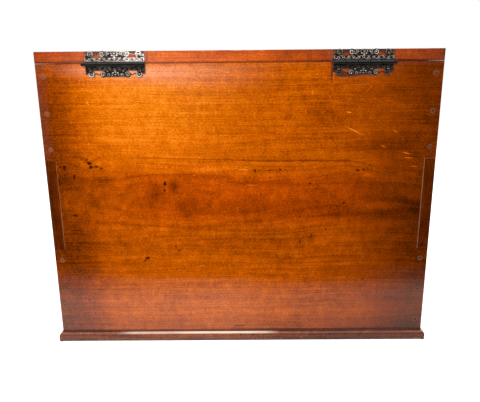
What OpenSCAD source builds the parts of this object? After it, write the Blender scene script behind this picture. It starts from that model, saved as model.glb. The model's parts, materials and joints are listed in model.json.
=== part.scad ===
// Tabletop apothecary box: a lift-up lid over a divided bottle well, with nine small drawers below.
// +Z is up and the drawers face -Y. The origin is the middle of the base board's underside.

/* [Case] */
// Outside width of the case
case_w = 533; // [460:1:620]
// Outside depth of the case, without moulding and hinges
case_d = 300; // [250:1:380]
// Height of the walls between the base and the lid
case_h = 386; // [340:1:450]
// Thickness of the case walls
wall_t = 15; // [14:0.5:18]
// Thickness of the base board
base_t = 15; // [14:0.5:20]
// How deep shelves and floors are let into the walls
housing = 5; // [3:0.5:6]

/* [Corner pegs] */
// Radius of a corner peg
peg_r = 3; // [2:0.25:3.5]
// Length of a corner peg
peg_len = 35; // [28:1:45]
// Distance from the outside of the case to a peg's centre
peg_inset = 9.5; // [8.5:0.5:10]
// Distance from a corner finger's end to its first peg
peg_margin = 16; // [12:1:24]
// How far a peg stands proud of the wall
peg_proud = 0.3; // [0.1:0.1:0.6]

/* [Base moulding] */
// How far the moulding stands out from the case
moulding_out = 5; // [3.5:0.5:8]
// Height of the moulding
moulding_h = 13.5; // [11:0.5:14]
// Height at which the moulding's rounded nose begins
nose_z = 6.5; // [5.5:0.5:9]
// Radius of the moulding's lower edge
toe_r = 1.6; // [0.8:0.2:2.4]
// Width of the flat step on top of the moulding
moulding_step = 1; // [0.5:0.25:1.5]

/* [Nails] */
// Radius of a moulding brad
brad_r = 0.9; // [0.6:0.1:1.2]
// Length of a moulding brad
brad_len = 22; // [16:1:30]
// Height of the brads above the table
brad_z = 4; // [3:0.25:5]
// Radius of a nail up through the base board
nail_r = 1.4; // [1:0.1:1.8]
// Length of a nail up through the base board
nail_len = 42; // [32:1:55]
// Distance from a corner of the base to the first brad
brad_margin = 28; // [20:1:40]
// Distance from a corner of the base to the first nail
nail_margin = 60; // [50:1:75]

/* [Shelves and partitions] */
// Thickness of a shelf between two rows of drawers
shelf_t = 9; // [7:0.5:12]
// Thickness of a partition between two columns of drawers
partition_t = 9; // [7:0.5:12]
// Thickness of the floor of the bottle well
floor_t = 8; // [6:0.5:11]

/* [Bottle well] */
// Thickness of a well divider
divider_t = 6; // [4:0.5:8]
// Height of the well dividers
divider_h = 65; // [40:1:80]

/* [Lid] */
// Thickness of the lid board
lid_t = 15; // [14:0.5:18]
// Joint left between the closed lid and the walls
lid_gap = 0.3; // [0.2:0.1:0.8]
// How far the lid overhangs the front
lid_overhang = 6; // [2:0.5:10]
// Radius of the lid's front edge
lid_edge_r = 5; // [2:0.5:6.5]
// Thickness of a batten under the lid
batten_t = 12; // [8:0.5:16]
// Width of a batten
batten_w = 34; // [24:1:50]
// Distance from the middle of the lid to a batten's centre
batten_x = 170; // [110:1:195]
// Space between a batten's ends and the walls
batten_space = 20; // [8:1:40]
// Distance from a batten's end to its first screw
batten_screw_margin = 24; // [14:1:40]

/* [Hinges] */
// Length of a hinge along its barrel
hinge_len = 78; // [70:1:90]
// Distance from the side of the case to the outer end of a hinge's leaves
hinge_inset = 66; // [20:1:110]
// Height of a leaf, from the barrel's axis to the tips of its scrolls
leaf_h = 17; // [15.5:0.25:17.5]
// Thickness of a leaf's plate
leaf_t = 1.6; // [1.2:0.1:1.8]
// How far the ornament and screw heads stand off the plate
relief_t = 0.9; // [0.4:0.1:1]
// Width of the plain band along the barrel
band_h = 8.2; // [7:0.1:9]
// Distance from the barrel's axis to the hinge screws
leaf_screw_v = 9.6; // [9:0.1:12]
// How far the ornament's scalloped edge stays back from the tips of the scrolls
scallop_drop = 0.8; // [0.5:0.1:2]
// Distance from the end of a leaf to its corner lobe
lobe_inset = 2; // [1:0.25:3]
// Radius of the round lobe at each end of a leaf
lobe_r = 5; // [4.6:0.1:5.4]
// Distance from the middle of a leaf to the lobe beside the palmette
scroll_x = 15.3; // [14.5:0.1:17]
// Radius of the round lobe beside the palmette
scroll_r = 4.5; // [4:0.1:5]
// Radius of the palmette in the middle
palmette_r = 6.4; // [5.6:0.1:7]
// Width of the raised ring on a lobe
ring_w = 1.1; // [0.7:0.1:1.4]
// Radius of the barrel
barrel_r = 2.75; // [2.6:0.05:3.2]
// Space between the barrel and the wall
barrel_gap = 0.25; // [0.2:0.05:0.5]
// Space between two knuckles
knuckle_gap = 0.3; // [0.2:0.05:0.6]
// Distance from the top of the walls down to the hinge axis
axis_drop = 1; // [0:0.25:2]
// Radius of the hinge pin
pin_r = 1.3; // [1:0.1:1.6]
// Radial clearance between the pin and its knuckles
pin_clear = 0.05; // [0.02:0.01:0.1]
// Length of the pin's pointed finial
finial_len = 5.5; // [3:0.5:7]

/* [Screws] */
// Radius of a hinge screw's shank
hinge_screw_r = 1.05; // [0.8:0.05:1.25]
// Length of a hinge screw's shank
hinge_screw_len = 11; // [8:0.5:13]
// Radius of a hinge screw's round head
hinge_head_r = 2.1; // [1.8:0.1:2.4]
// Clearance between a hinge screw's head and the ornament round it
head_clear = 0.15; // [0.1:0.05:0.3]
// Radius of a countersunk screw's shank
screw_r = 1.3; // [1:0.1:1.6]
// Radius of a countersunk screw's head
screw_head_r = 2.6; // [2.2:0.1:3]
// How far a countersunk screw reaches into the lid
lid_bite = 9; // [6:0.5:11]
// Length of a screw that holds the lock case
lock_screw_len = 10; // [8:0.5:12]

/* [Lock] */
// Width of the lock case
lock_w = 58; // [50:1:70]
// Height of the lock case
lock_h = 36; // [34:1:44]
// Depth of the lock case
lock_d = 10; // [9.5:0.25:11]
// Width of a screw flange at each side of the lock case
flange_w = 9; // [8:0.5:14]
// Thickness of the lock's plates
lock_plate_t = 1.5; // [1.2:0.1:1.8]
// Width and height of the sliding bolt
bolt_t = 2.8; // [2.2:0.1:3]
// Length of the sliding bolt
bolt_len = 20; // [16:0.5:21]
// Travel of the sliding bolt
bolt_travel = 7; // [6:0.5:8]
// Thickness of the eye that hangs from the link plate
eye_t = 2.4; // [2:0.1:3]
// Length of the link plate
link_w = 34; // [28:1:44]
// Width of the link plate
link_d = 9; // [8:0.5:10]
// Radius of the keyhole plate on the front
escutcheon_r = 11; // [8:0.5:14]
// Thickness of the keyhole plate
escutcheon_t = 1.2; // [0.8:0.1:2]
// Radius of the keyhole
keyhole_r = 2.4; // [1.8:0.1:3]
// Height of the keyhole above the foot of the lock case
keyhole_rise = 15; // [11:0.5:16]
// Depth of the keyhole's slot below its centre
keyhole_drop = 7; // [5:0.5:8]
// Radius of the round room that the key turns in
key_room_r = 8.4; // [7.5:0.1:9]
// Radius of the pin that the key turns on
key_pin_r = 1; // [0.7:0.1:1.2]
// Radius of a pin of the keyhole plate
plate_pin_r = 0.7; // [0.5:0.05:0.9]
// Length of the eye below the lid
eye_len = 9; // [8:0.5:10]

/* [Drawers] */
// Thickness of a drawer front
front_t = 12; // [10:0.5:15]
// Thickness of a drawer's sides and back
drawer_side_t = 7; // [5.5:0.5:9]
// Thickness of a drawer's bottom
bottom_t = 4; // [3:0.5:5]
// Height of the groove for a drawer's bottom
bottom_z = 5; // [4:0.5:8]
// Depth of the grooves and housings in a drawer
groove = 3; // [2:0.5:4]
// Length of the dovetails at the drawer front
tail_len = 8; // [6:0.5:8.5]
// Space at each side of a drawer
side_gap = 0.6; // [0.4:0.1:1.2]
// Space under a drawer
run_gap = 0.4; // [0.3:0.05:0.6]
// Space above a drawer
top_gap = 1; // [0.6:0.1:2]
// How far a drawer's sides stop below the top of its front
side_drop = 2; // [0:0.5:5]
// How far a drawer's back stops below the top of its sides
back_drop = 3; // [1:0.5:6]
// How far a drawer's back stands in from the rear ends of its sides
back_inset = 4; // [2:0.5:8]
// Space behind a closed drawer
rear_gap = 1; // [0.5:0.5:4]

/* [Knobs] */
// Radius of a knob's head
knob_r = 10.5; // [8:0.5:13]
// Length of a knob from the drawer front to its crown
knob_len = 20; // [17:0.5:26]
// Radius of a knob's foot
knob_foot_r = 7; // [6:0.5:8]
// Thickness of the flat edge of a knob's foot
knob_foot_t = 1.6; // [1:0.1:2.2]
// Radius of a knob's neck
knob_neck_r = 4.6; // [4.1:0.1:5.5]
// Radius of the tenon that passes through the drawer front
tenon_r = 4; // [3:0.25:4]

/* [Hidden] */
WOOD = [0.66, 0.33, 0.13];
DARK_WOOD = [0.42, 0.19, 0.08];
PALE_WOOD = [0.74, 0.55, 0.33];
IRON = [0.16, 0.14, 0.13];
BRASS = [0.72, 0.55, 0.26];
$fn = 48;
over = 1;          // how far a cut runs past the face it opens
fit = 0.05;        // clearance round a peg, nail, screw or tenon
loose = 0.1;       // clearance round a piece let into a recess

half_w = case_w / 2;
half_d = case_d / 2;
in_w = half_w - wall_t;
in_d = half_d - wall_t;
case_z0 = base_t;
case_z1 = base_t + case_h;
lid_z0 = case_z1 + lid_gap;
lid_z1 = lid_z0 + lid_t;

// Each rear corner is a joint of three large fingers, and the apron covers the front corners' top third.
fingers = 3;
finger_h = case_h / fingers;
apron_z0 = case_z0 + 2 * finger_h;
well_z0 = apron_z0 + floor_t;

rows = ["top", "middle", "bottom"];
cols = ["left", "centre", "right"];
n = len(rows);
opening_w = (2 * in_w - (n - 1) * partition_t) / n;
opening_h = (apron_z0 - case_z0 - (n - 1) * shelf_t) / n;
halving_y = (in_d - half_d) / 2;

well_cols = 6;
well_rows = 3;
cell_w = (2 * in_w - (well_cols - 1) * divider_t) / well_cols;
cell_d = (2 * in_d - (well_rows - 1) * divider_t) / well_rows;

axis_y = half_d + barrel_gap + barrel_r;
axis_z = case_z1 - axis_drop;
knuckles = 5;
knuckle_len = hinge_len / knuckles;
hinge_x = half_w - hinge_inset - hinge_len / 2;
lobe_x = hinge_len / 2 - lobe_r - lobe_inset;
lobe_v = leaf_h - lobe_r;
scroll_v = leaf_h - scroll_r;
palmette_v = leaf_h - palmette_r;
leaf_screws = [for (x = [-1, -1 / 3, 1 / 3, 1] * lobe_x) [x, leaf_screw_v]];

lock_y1 = -in_d;
lock_y0 = lock_y1 - lock_d;
lock_y = (lock_y0 + lock_y1) / 2;
lock_z0 = case_z1 - lock_h;
keyhole_z = lock_z0 + keyhole_rise;
eye_w = lock_d - 2 * lock_plate_t - 1.8;
eye_hole = bolt_t + 0.6;
bolt_z = lid_z0 - eye_len + (eye_len - eye_hole) / 2;
bolt_x = eye_t / 2 + 1.2;
plate_pin_y = -half_d - escutcheon_t - 0.2;
plate_pin_len = lock_y0 - 0.5 - plate_pin_y;

drawer_w = opening_w - 2 * side_gap;
drawer_h = opening_h - run_gap - top_gap;
drawer_l = case_d - wall_t - rear_gap;
drawer_side_h = drawer_h - side_drop;
drawer_back_y = drawer_l - back_inset;
tails = 3;

drawer_names = [for (r = rows, c = cols) str(r, "_", c, "_drawer")];

// A box between two opposite corners
module block(low, high) {
    translate(low) cube(high - low);
}

// Sweeps a flat outline along +X: the outline's x becomes Y and its y becomes Z
module along_x(length) {
    rotate([90, 0, 90]) linear_extrude(length) children();
}

// One copy on each side of the middle
module both_sides() {
    children();
    mirror([1, 0, 0]) children();
}

function finger_z(finger) = case_z0 + finger * finger_h;
function peg_heights(finger) =
    [finger_z(finger) + peg_margin, finger_z(finger) + finger_h / 2, finger_z(finger + 1) - peg_margin];

// The corner pegs, or with extra above 0 the holes that take them
module peg_set(extra = 0) {
    both_sides() {
        for (finger = [0, 2], z = peg_heights(finger))
            translate([half_w - peg_inset, half_d + peg_proud, z])
                rotate([90, 0, 0]) cylinder(h = peg_len + peg_proud, r = peg_r + extra);
        for (z = peg_heights(2))
            translate([half_w - peg_inset, -half_d - peg_proud, z])
                rotate([-90, 0, 0]) cylinder(h = peg_len + peg_proud, r = peg_r + extra);
        for (z = peg_heights(1))
            translate([half_w + peg_proud, half_d - wall_t / 2, z])
                rotate([0, -90, 0]) cylinder(h = peg_len + peg_proud, r = peg_r + extra);
    }
}

function spread(count, span, margin) =
    [for (i = [0:count - 1]) -span / 2 + margin + i * (span - 2 * margin) / (count - 1)];

// Brads through the moulding and nails up through the base board, or their holes
module nail_set(extra = 0) {
    for (x = spread(5, case_w, brad_margin), s = [-1, 1])
        translate([x, s * (half_d + moulding_out), brad_z])
            rotate([s * 90, 0, 0]) cylinder(h = brad_len, r = brad_r + extra, $fn = 24);
    for (y = spread(3, case_d, brad_margin), s = [-1, 1])
        translate([s * (half_w + moulding_out), y, brad_z])
            rotate([0, -s * 90, 0]) cylinder(h = brad_len, r = brad_r + extra, $fn = 24);
    for (x = spread(4, case_w, nail_margin))
        translate([x, half_d - wall_t / 2, 0]) cylinder(h = nail_len, r = nail_r + extra, $fn = 24);
    for (y = spread(4, case_d, nail_margin), s = [-1, 1])
        translate([s * (half_w - wall_t / 2), y, 0]) cylinder(h = nail_len, r = nail_r + extra, $fn = 24);
}

// The spaces that the well floor and the two shelves fill, housings included
module floor_space() {
    block([-in_w - housing, -in_d - housing, apron_z0], [in_w + housing, in_d + housing, well_z0]);
}

function shelf_z(i) = case_z0 + (i + 1) * opening_h + i * shelf_t;

module shelf_space(i) {
    block([-in_w - housing, -half_d, shelf_z(i)], [in_w + housing, in_d + housing, shelf_z(i) + shelf_t]);
}

module housings() {
    floor_space();
    shelf_space(0);
    shelf_space(1);
}

module base_board() {
    color(DARK_WOOD) difference() {
        block([-half_w, -half_d, 0], [half_w, half_d, base_t]);
        nail_set(fit);
    }
}

// The moulding's outline: x is the distance out from the case, y is the height
module moulding_outline() {
    toe = [for (a = [-90:22.5:0]) [moulding_out - toe_r + toe_r * cos(a), toe_r + toe_r * sin(a)]];
    nose = [for (a = [0:11.25:90])
        [moulding_step + (moulding_out - moulding_step) * cos(a), nose_z + (moulding_h - nose_z) * sin(a)]];
    polygon(concat([[0, 0]], toe, nose, [[0, moulding_h]]));
}

// The strip along the back, which stops between the two side strips
module long_moulding() {
    difference() {
        translate([-half_w, half_d, 0]) along_x(case_w) moulding_outline();
        nail_set(fit);
    }
}

// The strip along the right side, which runs past the long strips at both ends
module side_moulding() {
    difference() {
        translate([half_w, half_d + moulding_out, 0])
            rotate([90, 0, 0]) linear_extrude(case_d + 2 * moulding_out) moulding_outline();
        nail_set(fit);
    }
}

module moulding_back() {
    color(DARK_WOOD) long_moulding();
}

module moulding_front() {
    color(DARK_WOOD) mirror([0, 1, 0]) long_moulding();
}

module moulding_right() {
    color(DARK_WOOD) side_moulding();
}

module moulding_left() {
    color(DARK_WOOD) mirror([1, 0, 0]) side_moulding();
}

module base_nails() {
    color(IRON) nail_set();
}

module back_board() {
    color(WOOD) difference() {
        block([-half_w, in_d, case_z0], [half_w, half_d, case_z1]);
        both_sides()
            block([in_w, in_d - over, finger_z(1)], [half_w + over, half_d + over, finger_z(2)]);
        housings();
        peg_set(fit);
        nail_set(fit);
        hinge_screw_places(-1) hinge_screw(fit);
    }
}

// The right-hand side, with the fingers of its rear corner and the notch for the apron
module side_wall() {
    difference() {
        block([in_w, -half_d, case_z0], [half_w, half_d, case_z1]);
        block([in_w - over, in_d, case_z0 - over], [half_w + over, half_d + over, finger_z(1)]);
        block([in_w - over, in_d, finger_z(2)], [half_w + over, half_d + over, case_z1 + over]);
        block([in_w - over, -half_d - over, apron_z0], [half_w + over, -in_d, case_z1 + over]);
        housings();
        peg_set(fit);
        nail_set(fit);
    }
}

module right_side() {
    color(WOOD) side_wall();
}

module left_side() {
    color(WOOD) mirror([1, 0, 0]) side_wall();
}

module front_apron() {
    color(WOOD) difference() {
        block([-half_w, -half_d, apron_z0], [half_w, -in_d, case_z1]);
        floor_space();
        peg_set(fit);
        lock_recess();
        lock_screw_places() wood_screw(lock_screw_len, fit);
        keyhole(-half_d - over, lock_y1);
        keyhole_pins(fit);
    }
}

module corner_pegs() {
    color(DARK_WOOD) peg_set();
}

module well_floor() {
    color(PALE_WOOD) floor_space();
}

function partition_x(i) = -in_w + (i + 1) * opening_w + i * partition_t;

// A shelf, halved over the partitions along its front half
module shelf(i) {
    color(WOOD) difference() {
        shelf_space(i);
        for (k = [0:n - 2])
            block([partition_x(k), -half_d - over, shelf_z(i) - over],
                  [partition_x(k) + partition_t, halving_y, shelf_z(i) + shelf_t + over]);
    }
}

// A partition, halved over the shelves along its rear half
module partition(k) {
    color(WOOD) difference() {
        block([partition_x(k), -half_d, case_z0], [partition_x(k) + partition_t, in_d, apron_z0]);
        for (i = [0:n - 2])
            block([partition_x(k) - over, halving_y, shelf_z(i)],
                  [partition_x(k) + partition_t + over, in_d + over, shelf_z(i) + shelf_t]);
    }
}

function long_divider_y(i) = -in_d + (i + 1) * cell_d + i * divider_t;
function cross_divider_x(i) = -in_w + (i + 1) * cell_w + i * divider_t;

// The dividers along the well, slotted from above
module long_well_dividers() {
    color(PALE_WOOD) for (i = [0:well_rows - 2]) difference() {
        block([-in_w, long_divider_y(i), well_z0],
              [in_w, long_divider_y(i) + divider_t, well_z0 + divider_h]);
        for (k = [0:well_cols - 2])
            block([cross_divider_x(k), long_divider_y(i) - over, well_z0 + divider_h / 2],
                  [cross_divider_x(k) + divider_t, long_divider_y(i) + divider_t + over,
                   well_z0 + divider_h + over]);
    }
}

// The dividers across the well, slotted from below
module cross_well_dividers() {
    color(PALE_WOOD) for (k = [0:well_cols - 2]) difference() {
        block([cross_divider_x(k), -in_d, well_z0],
              [cross_divider_x(k) + divider_t, in_d, well_z0 + divider_h]);
        for (i = [0:well_rows - 2])
            block([cross_divider_x(k) - over, long_divider_y(i), well_z0 - over],
                  [cross_divider_x(k) + divider_t + over, long_divider_y(i) + divider_t,
                   well_z0 + divider_h / 2]);
    }
}

// A countersunk wood screw along +Z with its head's face at z = 0, or with extra above 0 its hole
module wood_screw(length, extra = 0) {
    head_h = 1.8;
    tip_h = 3;
    difference() {
        union() {
            cylinder(h = head_h, r1 = screw_head_r + extra, r2 = screw_r + extra);
            cylinder(h = length - tip_h, r = screw_r + extra);
            translate([0, 0, length - tip_h]) cylinder(h = tip_h, r1 = screw_r + extra, r2 = 0.3 + extra);
        }
        if (extra == 0) translate([-screw_head_r, -0.3, -over]) cube([2 * screw_head_r, 0.6, over + 0.7]);
    }
}

// A round-headed hinge screw along -Y, with the underside of its head at y = 0, or its hole
module hinge_screw(extra = 0) {
    rotate([90, 0, 0]) {
        cylinder(h = hinge_screw_len, r = hinge_screw_r + extra, $fn = 24);
        if (extra == 0) mirror([0, 0, 1]) difference() {
            cylinder(h = relief_t, r1 = hinge_head_r, r2 = hinge_head_r * 0.7);
            translate([-hinge_head_r, -0.25, relief_t * 0.55]) cube([2 * hinge_head_r, 0.5, relief_t]);
        }
    }
}

// Where the hinge screws go: side -1 is the case's leaves and side 1 the lid's
module hinge_screw_places(side) {
    for (x = [-hinge_x, hinge_x], p = leaf_screws)
        translate([x + p[0], half_d + leaf_t, axis_z + side * p[1]]) children();
}

// The pierced outline of a leaf: x along the barrel, y away from it
module leaf_outline() {
    start = barrel_r + 0.35;
    translate([-hinge_len / 2, start]) square([hinge_len, band_h - start]);
    translate([-scroll_x, band_h - over]) square([2 * scroll_x, leaf_h - scallop_drop - band_h + over]);
    translate([0, palmette_v]) circle(r = palmette_r);
    both_sides() {
        translate([lobe_x, lobe_v]) circle(r = lobe_r);
        translate([scroll_x, scroll_v]) circle(r = scroll_r);
        translate([lobe_x, start]) square([hinge_len / 2 - lobe_x, lobe_v - start]);
    }
}

// Raised rings round the corner screws, bosses in the other lobes and a bead along the barrel
module leaf_relief() {
    both_sides() {
        translate([lobe_x, lobe_v + 0.7]) leaf_ring(lobe_r - 1);
        translate([scroll_x, scroll_v + 0.6]) leaf_ring(scroll_r - 1);
    }
    translate([0, palmette_v + 1]) circle(r = 2.6);
    translate([0, palmette_v + 1]) leaf_ring(palmette_r - 1.9);
    translate([-hinge_len / 2 + 0.6, barrel_r + 1.2]) square([hinge_len - 1.2, 1.3]);
}

module leaf_ring(r) {
    difference() {
        circle(r = r);
        circle(r = r - ring_w);
    }
}

// One leaf on the wall face y = 0, hanging from the barrel's axis at z = 0. first is its first knuckle
module leaf(first) {
    difference() {
        union() {
            rotate([-90, 0, 0]) {
                linear_extrude(leaf_t) leaf_outline();
                linear_extrude(leaf_t + relief_t * 0.8) leaf_relief();
            }
            for (k = [first:2:knuckles - 1]) {
                x0 = -hinge_len / 2 + k * knuckle_len + knuckle_gap / 2;
                translate([x0, barrel_gap + barrel_r, 0])
                    rotate([0, 90, 0]) cylinder(h = knuckle_len - knuckle_gap, r = barrel_r);
                block([x0, 0, -barrel_r - 1], [x0 + knuckle_len - knuckle_gap, leaf_t, 0]);
            }
        }
        translate([-hinge_len, barrel_gap + barrel_r, 0])
            rotate([0, 90, 0]) cylinder(h = 2 * hinge_len, r = pin_r + pin_clear);
        for (p = leaf_screws) {
            translate([p[0], -over, -p[1]]) rotate([-90, 0, 0])
                cylinder(h = leaf_t + relief_t + 2 * over, r = hinge_screw_r + fit);
            translate([p[0], leaf_t, -p[1]]) rotate([-90, 0, 0])
                cylinder(h = relief_t + over, r = hinge_head_r + head_clear);
        }
    }
}

module case_leaf(x) {
    color(IRON) translate([x, half_d, axis_z]) leaf(0);
}

// The lid's leaf is the case's turned upside down, eased where it passes the top of the case wall
module lid_leaf(x) {
    color(IRON) difference() {
        translate([x, half_d, axis_z]) mirror([0, 0, 1]) leaf(1);
        block([x - hinge_len, half_d - over, axis_z - over], [x + hinge_len, half_d + barrel_gap, lid_z0]);
    }
}

// A pin with a pointed finial at its outer end, along +X from the barrel's inner end
module hinge_pin() {
    collar_r = barrel_r * 0.8;
    neck_z = 1.1;
    collar = [[0, 0], [collar_r, 0], [collar_r, neck_z / 2], [collar_r / 2, neck_z]];
    steeple = [for (a = [0:15:165])
        [0.35 + 2.1 * sin(a) * (1 - a / 420), neck_z + (finial_len - neck_z) * a / 165]];
    rotate([0, 90, 0]) {
        cylinder(h = hinge_len + 0.5, r = pin_r);
        translate([0, 0, hinge_len + 0.2])
            rotate_extrude() polygon(concat(collar, steeple, [[0, finial_len]]));
    }
}

module hinge_pins() {
    color(IRON) both_sides() translate([hinge_x - hinge_len / 2, axis_y, axis_z]) hinge_pin();
}

module lid_board() {
    bow = [for (a = [0:15:90]) a];
    front = -half_d - lid_overhang + lid_edge_r;
    top = [for (a = bow) [front - lid_edge_r * sin(a), lid_z1 - lid_edge_r + lid_edge_r * cos(a)]];
    bottom = [for (a = bow) [front - lid_edge_r * cos(a), lid_z0 + lid_edge_r - lid_edge_r * sin(a)]];
    color(WOOD) difference() {
        translate([-half_w, 0, 0]) along_x(case_w)
            polygon(concat([[half_d, lid_z0], [half_d, lid_z1]], top, bottom));
        link_plate_blank(loose);
        batten_screw_places() wood_screw(batten_t + lid_bite, fit);
        link_screw_places() wood_screw(lid_bite, fit);
        hinge_screw_places(1) hinge_screw(fit);
    }
}

module batten_screw_places() {
    for (x = [-batten_x, batten_x], y = spread(3, 2 * (in_d - batten_space), batten_screw_margin))
        translate([x, y, lid_z0 - batten_t]) children();
}

module lid_battens() {
    color(WOOD) difference() {
        both_sides()
            block([batten_x - batten_w / 2, -in_d + batten_space, lid_z0 - batten_t],
                  [batten_x + batten_w / 2, in_d - batten_space, lid_z0]);
        batten_screw_places() wood_screw(batten_t + lid_bite, fit);
    }
}

module lid_screws() {
    color(BRASS) {
        batten_screw_places() wood_screw(batten_t + lid_bite);
        link_screw_places() wood_screw(lid_bite);
    }
}

// The plate of the lock's link, let into the underside of the lid
module link_plate_blank(extra = 0) {
    block([-link_w / 2 - extra, lock_y - link_d / 2 - extra, lid_z0 - (extra > 0 ? over : 0)],
          [link_w / 2 + extra, lock_y + link_d / 2 + extra, lid_z0 + lock_plate_t]);
}

module link_screw_places() {
    for (x = [-1, 1] * (link_w / 2 - 5)) translate([x, lock_y, lid_z0]) children();
}

module link_plate() {
    color(BRASS) difference() {
        union() {
            link_plate_blank();
            block([-eye_t / 2, lock_y - eye_w / 2, lid_z0 - eye_len],
                  [eye_t / 2, lock_y + eye_w / 2, lid_z0]);
        }
        block([-eye_t, lock_y - eye_hole / 2, bolt_z], [eye_t, lock_y + eye_hole / 2, bolt_z + eye_hole]);
        link_screw_places() wood_screw(lid_bite, fit);
    }
}

// The lock's outside: a case with a screw flange at each side, flush with the apron's inner face
module lock_blank(extra = 0) {
    block([-lock_w / 2 - extra, lock_y0 - extra, lock_z0 - extra],
          [lock_w / 2 + extra, lock_y1 + extra, case_z1 + extra]);
    block([-lock_w / 2 - flange_w - extra, lock_y1 - lock_plate_t - extra, lock_z0 - extra],
          [lock_w / 2 + flange_w + extra, lock_y1 + extra, case_z1 + extra]);
}

module lock_recess() {
    lock_blank(loose);
}

module lock_screw_places() {
    for (x = [-1, 1] * (lock_w + flange_w) / 2, z = [lock_z0 + flange_w - 2, case_z1 - flange_w + 2])
        translate([x, lock_y1, z]) rotate([90, 0, 0]) children();
}

// A keyhole through the wall between two values of y: a round hole over a slot
module keyhole(y0, y1) {
    translate([0, y1, keyhole_z]) rotate([90, 0, 0]) cylinder(h = y1 - y0, r = keyhole_r);
    block([-keyhole_r * 0.45, y0, keyhole_z - keyhole_drop], [keyhole_r * 0.45, y1, keyhole_z]);
}

// The two pins of the keyhole plate, or with extra above 0 their holes
module keyhole_pins(extra = 0) {
    for (z = [keyhole_z - escutcheon_r + 2, keyhole_z + escutcheon_r - 2])
        translate([0, plate_pin_y, z]) rotate([-90, 0, 0])
            cylinder(h = plate_pin_len + extra, r = plate_pin_r + extra, $fn = 24);
}

// The lock case: a race for the bolt, a slot for the lid's eye and a round room for the key
module lock_case() {
    room_y0 = lock_y0 + lock_plate_t;
    room_y1 = lock_y1 - lock_plate_t;
    race_z0 = bolt_z + (eye_hole - bolt_t) / 2 - 0.2;
    color(BRASS) difference() {
        lock_blank();
        block([-bolt_x - bolt_travel, lock_y - bolt_t / 2 - 0.2, race_z0],
              [lock_w / 2 - lock_plate_t, lock_y + bolt_t / 2 + 0.2, race_z0 + bolt_t + 0.4]);
        block([-eye_t / 2 - 0.8, room_y0, lid_z0 - eye_len - 1], [eye_t / 2 + 0.8, room_y1, case_z1 + over]);
        translate([0, room_y1, keyhole_z]) rotate([90, 0, 0]) cylinder(h = room_y1 - room_y0, r = key_room_r);
        keyhole(lock_y0 - over, room_y0 + 0.1);
        lock_screw_places() wood_screw(lock_screw_len, fit);
    }
    color(BRASS) translate([0, room_y1, keyhole_z])
        rotate([90, 0, 0]) cylinder(h = room_y1 - lock_y0, r = key_pin_r, $fn = 24);
}

module lock_bolt() {
    z0 = bolt_z + (eye_hole - bolt_t) / 2;
    color(BRASS) difference() {
        block([bolt_x, lock_y - bolt_t / 2, z0], [bolt_x + bolt_len, lock_y + bolt_t / 2, z0 + bolt_t]);
        block([bolt_x + 4, lock_y - bolt_t, z0 - over], [bolt_x + 8, lock_y + bolt_t, z0 + bolt_t * 0.4]);
    }
}

module keyhole_plate() {
    color(BRASS) difference() {
        translate([0, -half_d, keyhole_z]) rotate([90, 0, 0])
            cylinder(h = escutcheon_t, r1 = escutcheon_r, r2 = escutcheon_r - escutcheon_t * 0.6);
        keyhole(-half_d - escutcheon_t - over, -half_d + over);
        keyhole_pins(fit);
    }
}

module lock_fixings() {
    color(BRASS) {
        lock_screw_places() wood_screw(lock_screw_len);
        keyhole_pins();
    }
}

// Puts a drawer's pieces in its opening, from a frame whose origin is the middle of the front's lower edge
module in_drawer(r, c) {
    translate([-in_w + opening_w / 2 + c * (opening_w + partition_t), -half_d,
               case_z0 + (n - 1 - r) * (opening_h + shelf_t) + run_gap]) children();
}

// The dovetails at the front of the right-hand drawer side, or with extra above 0 their sockets
module dovetails(extra = 0) {
    pitch = drawer_side_h / tails;
    wide = pitch * 0.34 + extra;
    narrow = wide - tail_len / 7;
    for (i = [0:tails - 1])
        translate([drawer_w / 2 - drawer_side_t - extra, 0, (i + 0.5) * pitch])
            along_x(drawer_side_t + extra + (extra > 0 ? over : 0))
                polygon([[front_t - tail_len - extra, -wide], [front_t, -narrow],
                         [front_t, narrow], [front_t - tail_len - extra, wide]]);
}

// The panel of the drawer's bottom, or with extra above 0 the grooves that hold it
module bottom_panel(extra = 0) {
    half = drawer_w / 2 - drawer_side_t + groove - fit;
    block([-half - extra, front_t - groove + fit - extra, bottom_z + fit - extra],
          [half + extra, drawer_l + (extra > 0 ? over : 0), bottom_z + bottom_t - fit + extra]);
}

// The drawer's back, or with extra above 0 the housings that hold it
module drawer_back(extra = 0) {
    half = drawer_w / 2 - drawer_side_t + groove - fit;
    block([-half - extra, drawer_back_y - drawer_side_t + fit - extra, bottom_z + bottom_t - extra],
          [half + extra, drawer_back_y - fit + extra, drawer_side_h - back_drop + extra]);
}

module drawer_front(r, c) {
    color(WOOD) in_drawer(r, c) difference() {
        block([-drawer_w / 2, 0, 0], [drawer_w / 2, front_t, drawer_h]);
        both_sides() dovetails(fit);
        bottom_panel(fit);
        translate([0, -over, drawer_h / 2])
            rotate([-90, 0, 0]) cylinder(h = front_t + 2 * over, r = tenon_r + fit);
    }
}

// Four separate solids: two dovetailed sides, the back housed between them and the grooved-in bottom
module drawer_box(r, c) {
    color(PALE_WOOD) in_drawer(r, c) {
        both_sides() difference() {
            union() {
                block([drawer_w / 2 - drawer_side_t, front_t, 0], [drawer_w / 2, drawer_l, drawer_side_h]);
                dovetails();
            }
            bottom_panel(fit);
            drawer_back(fit);
        }
        bottom_panel();
        drawer_back();
    }
}

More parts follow.
